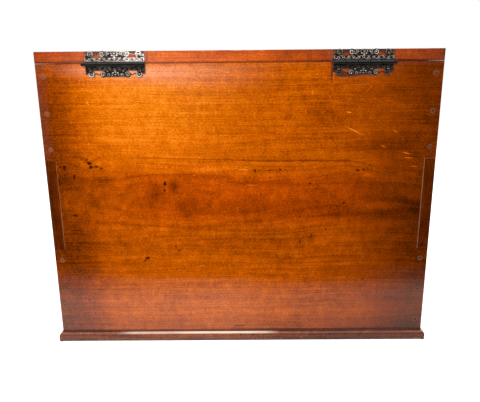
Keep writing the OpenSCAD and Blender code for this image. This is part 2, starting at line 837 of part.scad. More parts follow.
// A turned knob along +Z from the drawer's face, with its tenon behind the face
module knob() {
    head_z = knob_len * 0.66;
    neck_z = knob_len * 0.3;
    foot = [[0, -front_t], [tenon_r, -front_t], [tenon_r, 0], [knob_foot_r, 0], [knob_foot_r, knob_foot_t],
            [knob_neck_r, 2 * knob_foot_t]];
    flare = [for (t = [0:0.2:1])
        [knob_neck_r + (knob_r - knob_neck_r) * (1 - cos(90 * t)), neck_z + (head_z - neck_z) * t]];
    crown = [for (a = [15:15:90]) [knob_r * cos(a), head_z + (knob_len - head_z) * sin(a)]];
    rotate_extrude() polygon(concat(foot, flare, crown));
}

module drawer_knob(r, c) {
    color(DARK_WOOD) in_drawer(r, c) translate([0, 0, drawer_h / 2]) rotate([90, 0, 0]) knob();
}

base_board();
moulding_front();
moulding_back();
moulding_left();
moulding_right();
base_nails();
back_board();
left_side();
right_side();
front_apron();
corner_pegs();
well_floor();
shelf(1);  // upper_shelf
shelf(0);  // lower_shelf
partition(0);  // left_partition
partition(1);  // right_partition
long_well_dividers();
cross_well_dividers();
lid_board();
lid_battens();
lid_screws();
case_leaf(-hinge_x);  // left_hinge_case_leaf
case_leaf(hinge_x);  // right_hinge_case_leaf
lid_leaf(-hinge_x);  // left_hinge_lid_leaf
lid_leaf(hinge_x);  // right_hinge_lid_leaf
hinge_pins();
color(IRON) hinge_screw_places(-1) hinge_screw();  // case_hinge_screws
color(IRON) hinge_screw_places(1) hinge_screw();  // lid_hinge_screws
lock_case();
lock_bolt();
link_plate();
keyhole_plate();
lock_fixings();
for (r = [0:n - 1], c = [0:n - 1]) {
    name = drawer_names[r * n + c];
    drawer_front(r, c);
    drawer_box(r, c);
    drawer_knob(r, c);
}
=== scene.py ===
"""The looks of a tabletop apothecary box, which stands with its hinge side to the camera.

Everything is in metres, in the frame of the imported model: +Z up, drawers towards -Y, hinges on the +Y side.
"""
import json
import math

import bmesh
import bpy
import numpy as np
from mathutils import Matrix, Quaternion, Vector


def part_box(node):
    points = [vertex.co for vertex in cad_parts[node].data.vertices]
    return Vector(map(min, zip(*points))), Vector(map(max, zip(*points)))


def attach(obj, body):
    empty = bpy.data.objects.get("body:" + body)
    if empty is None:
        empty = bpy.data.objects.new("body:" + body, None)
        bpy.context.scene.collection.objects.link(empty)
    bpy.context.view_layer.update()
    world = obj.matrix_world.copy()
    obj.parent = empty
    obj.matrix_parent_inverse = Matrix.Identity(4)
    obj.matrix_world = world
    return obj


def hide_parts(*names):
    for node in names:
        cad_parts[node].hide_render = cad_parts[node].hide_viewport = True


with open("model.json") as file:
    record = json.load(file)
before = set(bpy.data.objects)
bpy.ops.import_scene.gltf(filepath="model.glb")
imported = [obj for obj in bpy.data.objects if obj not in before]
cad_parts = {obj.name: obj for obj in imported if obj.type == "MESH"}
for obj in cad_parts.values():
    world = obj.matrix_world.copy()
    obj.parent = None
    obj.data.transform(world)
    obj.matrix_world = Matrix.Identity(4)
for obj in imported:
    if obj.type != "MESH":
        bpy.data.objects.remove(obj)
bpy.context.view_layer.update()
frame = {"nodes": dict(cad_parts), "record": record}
MM = 0.001
scene = bpy.context.scene
scene.view_settings.view_transform = "Standard"

# The camera
# It stands behind the box at the height of the lid, a little to one side of the middle, and looks down
# at the middle of the back. Its picture leans by half a degree, as a picture taken by hand does.
stand = Vector((-3.7, 849.2, 404.0)) * MM
aim = Vector((0.5, 150.0, 214.2)) * MM
lean = math.radians(-0.53)
camera = bpy.data.objects.new("camera", bpy.data.cameras.new("camera"))
camera.data.lens = 39.0
camera.data.sensor_width = 36.0
camera.location = stand
camera.rotation_mode = "QUATERNION"
camera.rotation_quaternion = (aim - stand).to_track_quat("-Z", "Y") @ Quaternion((0, 0, 1), lean)
scene.collection.objects.link(camera)
scene.camera = camera


# The room
# The box stands on a white table in a pale room, lit by four soft lamps. The far edge of the table lies a
# hand's breadth and a half behind the box, and the varnish mirrors it low on the back, and a window high up.
class Field:
    """A number or colour that varies over a surface. Arithmetic on fields adds the shader nodes for it."""

    def __init__(self, finish, socket):
        self.finish = finish
        self.socket = socket

    def __add__(self, other):
        return self.finish.math("ADD", self, other)

    def __radd__(self, other):
        return self.finish.math("ADD", other, self)

    def __sub__(self, other):
        return self.finish.math("SUBTRACT", self, other)

    def __rsub__(self, other):
        return self.finish.math("SUBTRACT", other, self)

    def __mul__(self, other):
        return self.finish.math("MULTIPLY", self, other)

    def __rmul__(self, other):
        return self.finish.math("MULTIPLY", other, self)

    def __truediv__(self, other):
        return self.finish.math("DIVIDE", self, other)

    def __abs__(self):
        return self.finish.math("ABSOLUTE", self)


class Finish:
    """A material, or the world, in the making. Each method adds shader nodes and gives back their result."""

    def __init__(self, owner):
        self.owner = owner
        owner.use_nodes = True
        self.tree = owner.node_tree
        self.tree.nodes.clear()

    def node(self, kind, inputs, output=0, **settings):
        """Adds one shader node, joins or sets its inputs, and gives back one output as a field."""
        made = self.tree.nodes.new("ShaderNode" + kind)
        for name, value in settings.items():
            setattr(made, name, value)
        for name, value in inputs.items():
            if isinstance(value, Field):
                self.tree.links.new(value.socket, made.inputs[name])
            else:
                made.inputs[name].default_value = value
        return Field(self, made.outputs[output])

    def end(self, kind, shader):
        """Joins a shader to the output of the material or the world."""
        self.tree.links.new(shader.socket, self.tree.nodes.new("ShaderNodeOutput" + kind).inputs[0])

    def math(self, operation, a, b=0.0):
        """One step of arithmetic."""
        return self.node("Math", {0: a, 1: b}, operation=operation)

    def split(self, vector):
        """The x, y and z of a vector."""
        parts = self.node("SeparateXYZ", {0: vector})
        return [Field(self, parts.socket.node.outputs[i]) for i in range(3)]

    def step(self, value, low, high):
        """A smooth step: 0 where value is under low, 1 where it is over high. With low over high it falls."""
        ends = {"From Min": min(low, high), "From Max": max(low, high),
                "To Min": float(low > high), "To Max": float(low <= high)}
        return self.node("MapRange", {"Value": value, **ends}, interpolation_type="SMOOTHSTEP")

    def ray(self, kind):
        """1 for rays of this kind, 0 for others."""
        return self.node("LightPath", {}, f"Is {kind} Ray")


TABLE_SIDES = (950 * MM, 450 * MM)     # where the table fades out at both sides, and where it is full
TABLE_FRONT = (-900 * MM, -450 * MM)   # the same in front of the box
TABLE_EDGE_Y = 347 * MM      # under the middle of the box's back
TABLE_SKEW = 0.05            # how far the edge comes nearer for each metre towards the left hinge
WHITE = 0.82
AMBIENT = 0.46
TABLE_SHINE = 0.3            # how bright the table is in the varnish along its edge
NEAR_SHINE = 0.52            # how much brighter it is 60 mm nearer to the box
DARK_ROOM = 0.006            # how bright the room behind the table is in the varnish
# where each window starts, is brightest and ends, as x for each metre of y, and how strong it is
WINDOWS = [((-0.1, 0.25, 0.39), 1.0), ((-0.16, -0.24, -0.32), 0.14)]
FLOOR_GLARE = 4.5            # how bright the far floor is under the window
SILL_Y = 8.05                # where the window's light on the floor steps down, in metres


def window_share(finish, x, y):
    """How much of the window the varnish sees towards (x, y): 1 in its middle, 0 beside it."""
    aside = x / finish.math("MAXIMUM", y, 0.01)
    share = 0.0
    for (start, middle, end), strength in WINDOWS:
        share = share + finish.step(aside, start, middle) * finish.step(aside, end, middle) * strength
    return share


table = Finish(bpy.data.materials.new("white table"))
x, y, z = table.split(table.node("TexCoord", {}, "Object"))
skewed = y + x * TABLE_SKEW
on_table = (table.step(y, *TABLE_FRONT) * table.step(skewed, TABLE_EDGE_Y + 0.002, TABLE_EDGE_Y)
            * table.step(abs(x), *TABLE_SIDES))
nearer = table.step(skewed, TABLE_EDGE_Y, TABLE_EDGE_Y - 0.06) * NEAR_SHINE
# pale things that stand behind the table's edge, on the left and at both ends
behind = (table.step(y, TABLE_EDGE_Y + 0.046, TABLE_EDGE_Y + 0.016)
          * (table.step(x, -0.07, 0.04) * 0.45 + 0.07)
          + table.step(y, TABLE_EDGE_Y + 0.1, TABLE_EDGE_Y + 0.05) * table.step(abs(x), 0.2, 0.34) * 0.2)
seen = table.ray("Camera") + table.ray("Transmission")
cloth = table.node("BsdfDiffuse", {"Color": (WHITE, WHITE, WHITE, 1)})
glow = table.node("Emission", {"Strength": seen * 0.66})
lit = table.node("AddShader", {0: cloth, 1: glow})
# the window's light on the floor: it reaches nearest straight behind the box
from_middle = table.math("MAXIMUM", abs(x / table.math("MAXIMUM", y, 0.01) - 0.02) - 0.1, 0.0)
far = table.math("MINIMUM", y / (from_middle * 60.0 + 9.0), 1.0)
glare = far * far * far * (0.5 + 0.5 * table.step(y, 8.0, 18.0)) * FLOOR_GLARE
glare = glare * (0.5 + 0.5 * table.step(y, SILL_Y - 0.2, SILL_Y + 0.2))
mirrored = table.node("Emission", {"Strength": on_table * (nearer + TABLE_SHINE) + behind + DARK_ROOM
                                   + glare * window_share(table, x, y)})
both = table.node("MixShader", {0: table.ray("Glossy"), 1: lit, 2: mirrored})
table.end("Material", both)

FLOOR_REACH = 40.0           # metres from the box to each edge of the floor
floor_mesh = bpy.data.meshes.new("floor")
floor_mesh.from_pydata([(side * FLOOR_REACH, end * FLOOR_REACH, 0)
                        for side, end in ((-1, -1), (1, -1), (1, 1), (-1, 1))], [], [(0, 1, 2, 3)])
floor_mesh.materials.append(table.owner)
floor = bpy.data.objects.new("floor", floor_mesh)
scene.collection.objects.link(floor)

scene.world = bpy.data.worlds.new("room")
room = Finish(scene.world)
x, y, z = room.split(room.node("TexCoord", {}, "Generated"))
seen = room.ray("Camera") + room.ray("Transmission")
glossy = room.ray("Glossy")
above = window_share(room, x, y) * room.step(z, 0.3, 0.1) * 0.8 + room.step(z, 0.05, 0.6) * 1.6 + 0.25
strength = seen + glossy * (above + DARK_ROOM) + (1.0 - seen - glossy) * AMBIENT
room.end("World", room.node("Background", {"Color": (1, 1, 1, 1), "Strength": strength}))


def lamp(name, place, target, size, power, mirrored=False):
    """A square soft lamp that shines from place at target. The gloss sees it only if it is mirrored."""
    light = bpy.data.lights.new(name, "AREA")
    light.shape = "SQUARE"
    light.size = size
    light.energy = power
    made = bpy.data.objects.new(name, light)
    made.location = place
    made.rotation_mode = "QUATERNION"
    made.rotation_quaternion = (Vector(target) - Vector(place)).to_track_quat("-Z", "Y")
    made.visible_camera = False
    made.visible_glossy = mirrored
    scene.collection.objects.link(made)


lamp("window lamp", (0.72, 1.05, 0.9), (0.1, 0.15, 0.28), 0.55, 10.5)
lamp("lamp over the camera", (-0.02, 1.35, 1.15), (0.0, 0.15, 0.2), 0.3, 5.0)
lamp("front lamp", (-0.9, -1.3, 1.2), (0, -0.1, 0.2), 0.9, 14.0, True)
lamp("ceiling lamp", (0.0, 0.1, 2.0), (0, 0, 0), 1.2, 14.0)


# The base
# One board of the same hardwood as the case, a little darker, that the case stands on. Nails driven up
# through it hold the back and the sides.
def copy_of(node, material):
    """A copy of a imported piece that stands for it, its doubled points merged and its flat faces joined."""
    mesh = frame["nodes"][node].data.copy()
    if "custom_normal" in mesh.attributes:
        mesh.attributes.remove(mesh.attributes["custom_normal"])
    shape = bmesh.new()
    shape.from_mesh(mesh)
    bmesh.ops.remove_doubles(shape, verts=shape.verts, dist=0.002 * MM)
    bmesh.ops.dissolve_limit(shape, angle_limit=math.radians(0.5), verts=shape.verts, edges=shape.edges)
    shape.to_mesh(mesh)
    shape.free()
    mesh.materials.clear()
    mesh.materials.append(material)
    return stand_for(mesh, node + "_finished", node)


def stand_for(mesh, name, node):
    """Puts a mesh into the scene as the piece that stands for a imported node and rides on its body."""
    piece = bpy.data.objects.new(name, mesh)
    scene.collection.objects.link(piece)
    bodies = frame["record"]["behaviour"]["bodies"]
    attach(piece, next(body for body, nodes in bodies.items() if node in nodes))
    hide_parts(node)
    return piece


def eased(node, material, width=0.5 * MM, angle=35):
    """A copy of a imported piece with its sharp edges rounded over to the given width."""
    piece = copy_of(node, material)
    piece.data.polygons.foreach_set("use_smooth", np.ones(len(piece.data.polygons), bool))
    rounding = piece.modifiers.new("eased edges", "BEVEL")
    rounding.width = width
    rounding.segments = 3
    rounding.limit_method = "ANGLE"
    rounding.angle_limit = math.radians(angle)
    rounding.harden_normals = True
    return piece


class Surface(Finish):
    """The material of a piece. x, y and z are the place on the piece, in the frame of the whole box."""

    def __init__(self, name):
        super().__init__(bpy.data.materials.new(name))
        self.place = self.node("TexCoord", {}, "Object")
        self.x, self.y, self.z = self.split(self.place)
        self.face = self.vector(self.x, 1.0, self.z)

    def vector(self, x, y, z):
        return self.node("CombineXYZ", {0: x, 1: y, 2: z})

    def length(self, x, y, z=0.0):
        """The distance from the origin to the point (x, y, z)."""
        return self.node("VectorMath", {0: self.vector(x, y, z)}, "Value", operation="LENGTH")

    def noise(self, x, y, z, detail=2.0, roughness=0.5):
        """Smooth noise from about -1 to 1, with bumps about one unit apart."""
        plain = self.node("TexNoise", {"Vector": self.vector(x, y, z), "Scale": 1.0, "Detail": detail,
                                       "Roughness": roughness}, "Fac")
        return (plain - 0.5) * 2.6

    def speckle(self, scale, roughness=0.6):
        """Noise of one grain size in every direction."""
        return self.noise(self.x * scale, self.y * scale, self.z * scale, 3.0, roughness)

    def reach(self, x, z, width, height, where=None):
        """How far a place on an x-z face lies from (x, z), counted so that it is 1 on the rim of an oval of
        this width and height, in millimetres. where reads other coordinates than the piece's own."""
        local = self.node("VectorMath", {0: where or self.face, 1: (2 / width / MM, 0, 2 / height / MM),
                                         2: (-2 * x / width, 0, -2 * z / height)}, "Vector",
                          operation="MULTIPLY_ADD")
        return self.node("VectorMath", {0: local}, "Value", operation="LENGTH")

    def soft(self, reach, edge, strength):
        """Strength where reach is below edge, fading to 0 where it is 1."""
        ends = {"From Min": edge, "From Max": 1.0, "To Min": strength, "To Max": 0.0}
        return self.node("MapRange", {"Value": reach, **ends}, interpolation_type="SMOOTHSTEP")

    def spot(self, x, z, width, height, edge=0.0, strength=1.0, where=None):
        """A soft oval mark on an x-z face, in millimetres: strength within edge of its middle, 0 outside."""
        return self.soft(self.reach(x, z, width, height, where), edge, strength)

    def scratch(self, x0, z0, x1, z1, width, strength):
        """A thin mark from (x0, z0) to (x1, z1) on an x-z face, in millimetres."""
        dx, dz = x1 - x0, z1 - z0
        reach = []
        for u, w, half in ((dx, dz, 0.55 * math.hypot(dx, dz)), (-dz, dx, width / 2)):
            size = math.hypot(dx, dz) * half
            middle = u * (x0 + x1) / 2 + w * (z0 + z1) / 2
            across = (u / size / MM, -middle / size, w / size / MM)
            reach.append(self.node("VectorMath", {0: self.face, 1: across}, "Value", operation="DOT_PRODUCT"))
        return self.soft(self.length(*reach), 0.25, strength)

    def mix(self, a, b, amount):
        """Colour a turned towards colour b by amount."""
        paint = self.tree.nodes.new("ShaderNodeMix")
        paint.data_type = "RGBA"
        for index, value in ((0, amount), (6, a), (7, b)):
            if isinstance(value, Field):
                self.tree.links.new(value.socket, paint.inputs[index])
            else:
                paint.inputs[index].default_value = value if index == 0 else (*value, 1.0)
        return Field(self, paint.outputs[2])

    def scale(self, tone, colours):
        """Reads a colour off an even scale of colours, the first at tone 0 and the last at tone 1."""
        reader = self.tree.nodes.new("ShaderNodeValToRGB")
        stops = reader.color_ramp.elements
        while len(stops) < len(colours):
            stops.new(0.5)
        for i, colour in enumerate(colours):
            stops[i].position = i / (len(colours) - 1)
            stops[i].color = (*colour, 1.0)
        self.tree.links.new(tone.socket, reader.inputs[0])
        return Field(self, reader.outputs[0])

    def skin(self, colour, roughness, height, depth, others):
        """Ends the material: a shader with relief, and with the given fields or constants on its sockets."""
        relief = self.node("Bump", {"Height": height, "Strength": 1.0, "Distance": depth})
        self.end("Material", self.node("BsdfPrincipled", {"Base Color": colour, "Roughness": roughness,
                                                          "Normal": relief, **others}))
        return self.owner


class Wood(Surface):
    """Varnished wood. along is the place along the grain, across lies across the board, depth into it."""

    def __init__(self, name, grain="x", seed=0.0):
        super().__init__(name)
        self.along, self.across, self.depth = {"x": (self.x, self.z, self.y), "y": (self.y, self.z, self.x),
                                               "z": (self.z, self.x, self.y)}[grain]
        self.seed = seed

    def figure(self, heart=(0.21, -0.09), swirl=0.0, coarse=1.0, fine=1.0):
        """The figure of a sawn board, about -1 to 1. Growth lines are noise read off the distance from the
        tree's heart, which lies at heart = (across, behind the face); fibres and flecks are finer noise."""
        s, a, b, c = self.seed, self.along, self.across, self.depth
        drift = self.noise(a * 3.1 + s, b * 7.0, c * 7.0 + s, 2.0) * 0.007 + swirl
        rings = self.length(b - heart[0], c - heart[1]) + drift
        bands = self.noise(rings * 75.0 + s, a * 1.6, s, 2.0, 0.55)
        contour = self.step(abs(bands), 0.09, 0.0)
        lines = self.noise(rings * 420.0, a * 8.0 + s, s, 2.0, 0.85)
        blotch = self.noise(a * 16.0, b * 26.0 + s, c * 26.0, 2.0, 0.6)
        ripple = self.noise(a * 110.0 + s, b * 90.0, c * 90.0, 2.0, 0.6)
        fleck = self.noise(a * 330.0, b * 800.0 + s, c * 800.0, 2.0, 0.8)
        return ((bands * 0.22 + lines * 0.85 + blotch * 0.26 - contour * 0.3) * coarse
                + (ripple * 0.4 + fleck * 1.1) * fine)

    def pores(self):
        """The open pores, short dark dashes along the grain: 1 in a pore, 0 outside."""
        dashes = self.noise(self.along * 95.0 + self.seed, self.across * 1900.0, self.depth * 1900.0, 1.0)
        return self.step(dashes, 0.5, 0.85)

    def varnish(self, colour, roughness, height, depth=0.05 * MM, coat=1.0, coat_roughness=0.05):
        """Ends the wood: stained fibres under a clear coat. Only the fibres have the relief."""
        return self.skin(colour, roughness, height, depth,
                         {"Coat Weight": coat, "Coat Roughness": coat_roughness, "Specular IOR Level": 0.0})


ROOM_LIGHT = 1.1             # how brightly the lamps light a face towards the camera


def srgb(*rgb):
    """A colour as a picture shows it, 0 to 255, as the linear value that shows it under the room's light."""
    return tuple((c / 12.92 if c <= 0.04045 else ((c + 0.055) / 1.055) ** 2.4) / ROOM_LIGHT
                 for c in (v / 255 for v in rgb))


def shades(*colours):
    """A scale of such colours, from dark to pale."""
    return [srgb(*colour) for colour in colours]


AMBER = shades((50, 17, 0), (102, 41, 0), (146, 62, 0), (188, 88, 1), (226, 117, 8), (246, 150, 44))
RUSSET = shades((50, 14, 0), (102, 35, 0), (146, 54, 0), (188, 75, 1), (226, 100, 7), (246, 130, 40))
UMBER = shades((26, 12, 6), (62, 28, 14), (98, 46, 24), (132, 66, 34), (172, 94, 50), (220, 142, 86))

base = Wood("base wood", "x", 3.0)
pores = base.pores()
figure = base.figure()
base_finish = base.varnish(base.scale(figure * 0.3 + 0.42 - pores * 0.12, UMBER), 0.45, figure * 0.3 - pores,
                           coat=0.8)
eased("base_board", base_finish)


# The base moulding
# Four strips of the base's wood, moulded to a step, a nose and a small toe. They are glued and bradded to the
# edges of the base board, and the side strips run past the front and rear ones.
OUTER_X, OUTER_Y = 266.5 * MM, 150.0 * MM      # half the case's width and depth
BRADS = [156.7, 0.8, -17.1, -131.0]            # where the rear strip's brads are, in millimetres


def moulding(name, grain, seed):
    wood = Wood(name, grain, seed)
    pores = wood.pores()
    figure = wood.figure()
    out = wood.math("MAXIMUM", abs(wood.x) - OUTER_X, abs(wood.y) - OUTER_Y) * 1000.0
    height = wood.z * 1000.0
    wander = wood.noise(wood.x * 40.0, wood.y * 40.0, 2.0, 3.0, 0.6)
    # the quirk under the back and the toe along the bottom are darkened: grime and painted shade
    quirk = wood.step(out + wander * 0.2, 1.3, 0.5)
    nose = wood.step(height + wander * 0.4, 10.4, 12.2) * (1.0 - quirk)
    shoulder = nose * wood.step(wander, -0.5, 0.3)
    foot = wood.step(height + wander * 0.4, 2.2, 0.4)
    # along the middle of the rear strip, the nose is pale: wear with a painted highlight on it
    at_rear = wood.step(wood.y, OUTER_Y - 1 * MM, OUTER_Y)
    rubbed = at_rear * wood.step(wood.x, -0.058, -0.036) * wood.step(wood.x, 0.187, 0.16) * (
        wood.step(abs(wood.x - 0.03), 0.08, 0.04) * 0.35 + 0.65)
    brads = 0.0
    for place in BRADS:
        brads = brads + wood.spot(place, 9.3, 3.4, 3.0, 0.4, 0.35)
    tone = figure * 0.3 + 0.5 + shoulder * 0.1 - pores * 0.12 - quirk * 0.3 - foot * 0.28 - brads
    tone = tone + wood.spot(-89.0, 4.8, 8.0, 2.6, 0.3, 0.4)
    # that middle is a little paler and the strip's right end darker: painted light and shade
    tone = tone + at_rear * wood.step(wood.x, -0.07, -0.02) * wood.step(wood.x, 0.18, 0.14) * 0.08
    tone = tone - at_rear * wood.step(wood.x, -0.08, -0.12) * 0.08
    # the pale colour on the nose is the painted highlight, over wear
    colour = wood.mix(wood.scale(tone, UMBER), srgb(252, 226, 202), nose * rubbed * 0.85)
    return wood.varnish(colour, 0.42, figure * 0.3 - pores, coat=0.85 - quirk * 0.6, coat_roughness=0.2)


moulding_across = moulding("moulding, front and rear", "x", 11.0)
moulding_along = moulding("moulding, sides", "y", 12.0)
for node in ("moulding_front", "moulding_back"):
    eased(node, moulding_across, 0.35 * MM, 20)
for node in ("moulding_left", "moulding_right"):
    eased(node, moulding_along, 0.35 * MM, 20)


class Metal(Surface):
    """Bare or painted metal."""

    def worn(self, colour, roughness, metallic, height, depth=0.04 * MM):
        """Ends the metal. metallic is 1 where it is bare and 0 where it is painted or rusted over."""
        return self.skin(colour, roughness, height, depth, {"Metallic": metallic, "Specular IOR Level": 0.5})


iron = Metal("dark iron")
rust = iron.speckle(900.0)
nail_iron = iron.worn(iron.scale(rust * 0.5 + 0.5, shades((30, 26, 25), (66, 52, 44), (104, 74, 54))),
                      0.55, 0.75, rust)
eased("base_nails", nail_iron, 0.15 * MM)


# The sides
# One board each, its grain from front to back. Its middle third runs through to the outside of the back and
# shows its end grain there, which has drunk more stain. Inside the case the wood is bare.
BARE = shades((104, 66, 36), (146, 100, 60), (178, 132, 86), (204, 164, 116))
INNER_X, INNER_Y = 251.5 * MM, 135.0 * MM      # where the case's bare inside begins
RIM_Z = 400.2 * MM                             # the top edges, which the lid has worn dull, begin here


def case_board(name, grain, seed, tone, inside):
    """A board of the case, varnished outside and bare where the field that inside gives is 1."""
    wood = Wood(name, grain, seed)
    pores = wood.pores()
    figure = wood.figure()
    bare = inside(wood)
    normal = wood.split(wood.node("TexCoord", {}, "Normal"))
    ends = wood.step(abs(normal["xyz".index(grain)]), 0.6, 0.9)
    drunk = wood.noise(wood.x * 240.0, wood.y * 30.0, wood.z * 60.0)
    shade = figure * 0.34 * (1.0 - ends * 0.55) + tone - pores * 0.12 - ends * (0.3 + drunk * 0.06)
    redder = wood.noise(wood.x * 9.0, wood.y * 9.0, wood.z * 9.0 + seed)
    colour = wood.mix(wood.scale(shade, RUSSET), wood.scale(shade, AMBER), redder * 0.5 + 0.4)
    colour = wood.mix(colour, wood.scale(figure * 0.3 + 0.5 - pores * 0.2, BARE), bare)
    rim = wood.step(wood.z, RIM_Z, RIM_Z + 0.5 * MM)
    return wood.varnish(colour, 0.45 + bare * 0.25, figure * 0.3 - pores, coat=0.9 - bare * 0.9 - rim * 0.75,
                        coat_roughness=0.1)


side_finish = case_board("side wood", "y", 31.0, 0.42,
                         lambda wood: wood.step(abs(wood.x), INNER_X + 0.6 * MM, INNER_X))
for node in ("left_side", "right_side"):
    eased(node, side_finish, 0.45 * MM)


# The back
# One wide flat-sawn board with its grain across, and knots and old bruises in it. It was stained, varnished
# and polished until it mirrors the table and the window.
BACK_FOOT, BACK_TOP = 15.0 * MM, 401.0 * MM
FINGER_LOW, FINGER_HIGH = 143.667 * MM, 272.333 * MM
# the pegs, in millimetres: how far from the middle, and their heights
PEG_X = 257.0
PEG_ROWS = [31.0, 79.333, 127.667, 288.333, 336.667, 385.0]


def peg_distance(wood):
    """How far a place on the back or the front lies from the middle of the nearest peg, in millimetres."""
    mirrored = wood.vector(abs(wood.x), 0.0, wood.z)
    nearest = 1000.0
    for row in PEG_ROWS:
        nearest = wood.math("MINIMUM", nearest, wood.reach(PEG_X, row, 2, 2, mirrored))
    return nearest


back = Wood("back wood", "x", 41.0)
x, z = back.x * 1000.0, back.z * 1000.0         # millimetres
from_left = OUTER_X * 1000.0 - x                # as the hinge side is seen


def over(low, high):
    """A smooth step along the back, between two distances from its left end in millimetres."""
    return back.step(from_left, low, high)


def up(low, high):
    """A smooth step up the back, between two heights in millimetres."""
    return back.step(z, low, high)


# knots: place, size, how strongly the growth lines bend round it, how dark its heart is
KNOTS = [(206, 269, 8, 7, 0.004, 0.75), (204.5, 263.5, 7, 6, 0.0, 0.9), (197, 264, 12, 4, 0.0, 0.6),
         (190, 262, 6, 5, 0.0, 0.7), (209, 274, 4, 5, 0.0, 0.6), (241, 263, 8, 9, -0.003, 0.55),
         (246, 264, 4, 6, 0.0, 0.5), (228, 250, 4, 8, 0.0, 0.7), (103.5, 240, 6, 8, 0.002, 0.9),
         (105, 229.5, 4, 6, 0.0, 0.7), (133.5, 130, 9, 7, 0.002, 0.85), (137, 127, 5, 4, 0.0, 0.6),
         (92, 148, 3, 8, 0.0, 0.45), (88, 142, 9, 3, 0.0, 0.4), (232, 195, 11, 4, 0.002, 0.55),
         (-144, 210.5, 6, 4, -0.001, 0.8), (-161, 257, 7, 5, 0.003, 0.8), (-169, 257, 7, 4, 0.0, 0.6),
         (31, 256, 4, 4, 0.002, 0.6), (-20.5, 257, 4, 7, 0.0, 0.7), (-55, 258, 5, 5, 0.0, 0.75),
         (-96.3, 238.5, 7, 4, 0.0, 0.6), (-42, 247, 5, 3, 0.0, 0.4)]
# a knot's edge is uneven, so its spots are read at a place that wanders a little
uneven = back.vector(back.x + back.noise(back.x * 190.0, back.z * 190.0, 5.0) * 1.7 * MM, 0.0,
                     back.z + back.noise(back.x * 170.0, back.z * 210.0, 9.0) * 1.5 * MM)
swirl, hearts = 0.0, 0.0
for kx, kz, width, height, bend, dark in KNOTS:
    if bend:
        swirl = swirl + back.spot(kx, kz, width * 4.5, height * 4.5, 0.0, bend)
    hearts = hearts + back.spot(kx, kz, width, height, 0.25, dark, uneven)
# dots and short dark dashes along the grain: place and size
DASHES = [(222.5, 65, 4.5, 4), (217.5, 61, 2.4, 2), (46.9, 305, 3.2, 2.4), (3.7, 21.5, 22, 3),
          (48.8, 68.6, 13, 1.6), (25, 69.5, 3, 2.4), (-52, 132, 3.4, 4.5), (88, 302, 2.4, 3),
          (54, 262, 9, 1.8), (97, 263.5, 5, 2), (-40, 257.5, 22, 1.6), (-60, 214, 5, 2.2), (-120, 172, 3, 6),
          (-176, 96, 3.5, 3.5), (196, 147, 3, 2.4), (140, 300, 3, 2), (-99.7, 163, 4, 9), (-84, 154, 3.5, 8)]
for dx, dz, width, height in DASHES:
    hearts = hearts + back.spot(dx, dz, width, height, 0.3, 0.5, uneven)
figure = back.figure((0.215, 0.06), swirl, 0.8, 1.3)
pores = back.pores()

# a long growth line crosses the upper half and falls away on the right; below it the wood is darker and
# redder
ragged = back.noise(back.x * 12.0, back.z * 14.0, 1.0) * 12.0
rise = back.math("MAXIMUM", x + 60.0, 0.0) * 0.03
fall = back.math("MAXIMUM", -135.0 - x, 0.0)
wave = z - 270.2 - rise + fall * fall * 0.0035 - back.noise(back.x * 14.0, 3.0, 5.0, 1.0) * 1.2
line = back.step(abs(wave), 1.7, 0.2) * over(95.0, 150.0) * over(475.0, 405.0)
line = line * (0.8 + over(280.0, 370.0) * 0.4)
line = line + back.step(abs(wave + 22.0), 1.3, 0.1) * over(150.0, 200.0) * over(300.0, 240.0) * 0.5
line = line + back.step(abs(wave + 6.5), 1.2, 0.1) * over(380.0, 410.0) * over(480.0, 440.0) * 0.6
below = back.step(wave + ragged * 0.8, 2.0, -38.0)

# the board is palest high on the left, partly its own tone and partly painted light from the left, and it
# darkens towards the right and along both ends, partly from handling and partly painted shade
place = (0.715 - over(100.0, 533.0) * 0.271
         - back.step(from_left + ragged, 92.0, 22.0) * 0.28
         - back.step(from_left + ragged * 0.3, 52.0, 2.0) * up(225.0, 280.0) * up(390.0, 372.0) * 0.17
         + back.step(abs(from_left - 90.0), 80.0, 30.0) * up(372.0, 390.0) * 0.1
         - back.step(from_left - ragged, 420.0, 530.0) * 0.23
         - below * (over(300.0, 50.0) * 0.13 + 0.09)
         + up(200.0, 20.0) * 0.08
         - up(50.0, 16.0) * 0.1
         - back.step(abs(z - 203.0 + ragged * 0.5), 20.0, 5.0) * over(60.0, 330.0) * 0.1)
# wide soft clouds of stain: place, size, how much paler; the widest, high on the left, is partly a painted
# pool of light
CLOUDS = [(106, 345, 310, 170, 0.11), (-180, 289, 150, 36, -0.13), (190, 243, 48, 44, -0.14),
          (234, 205, 64, 64, 0.12), (30, 258, 150, 22, 0.09), (-120, 330, 150, 60, -0.06),
          (92, 236, 24, 30, -0.24), (76, 205, 42, 40, -0.07), (118, 226, 40, 60, -0.15),
          (-96, 158, 50, 30, -0.07), (140, 172, 120, 40, 0.06), (-120, 160, 140, 40, 0.07),
          (-188, 208, 150, 24, 0.17), (-174, 251, 22, 12, 0.14), (60, 335, 280, 44, -0.06),
          (20, 148, 300, 70, -0.07), (180, 292, 50, 30, -0.09)]
for cx, cz, width, height, paler in CLOUDS:
    place = place + back.spot(cx, cz, width, height, 0.0, paler)
flecks = back.step(back.noise(back.x * 210.0, back.z * 620.0, 7.0), 0.25, 0.75) * (
    back.spot(46, 260, 60, 20, 0.0, 0.9) + back.spot(222, 268, 70, 20, 0.0, 0.7)
    + back.spot(120, 259, 110, 9, 0.0, 0.6))

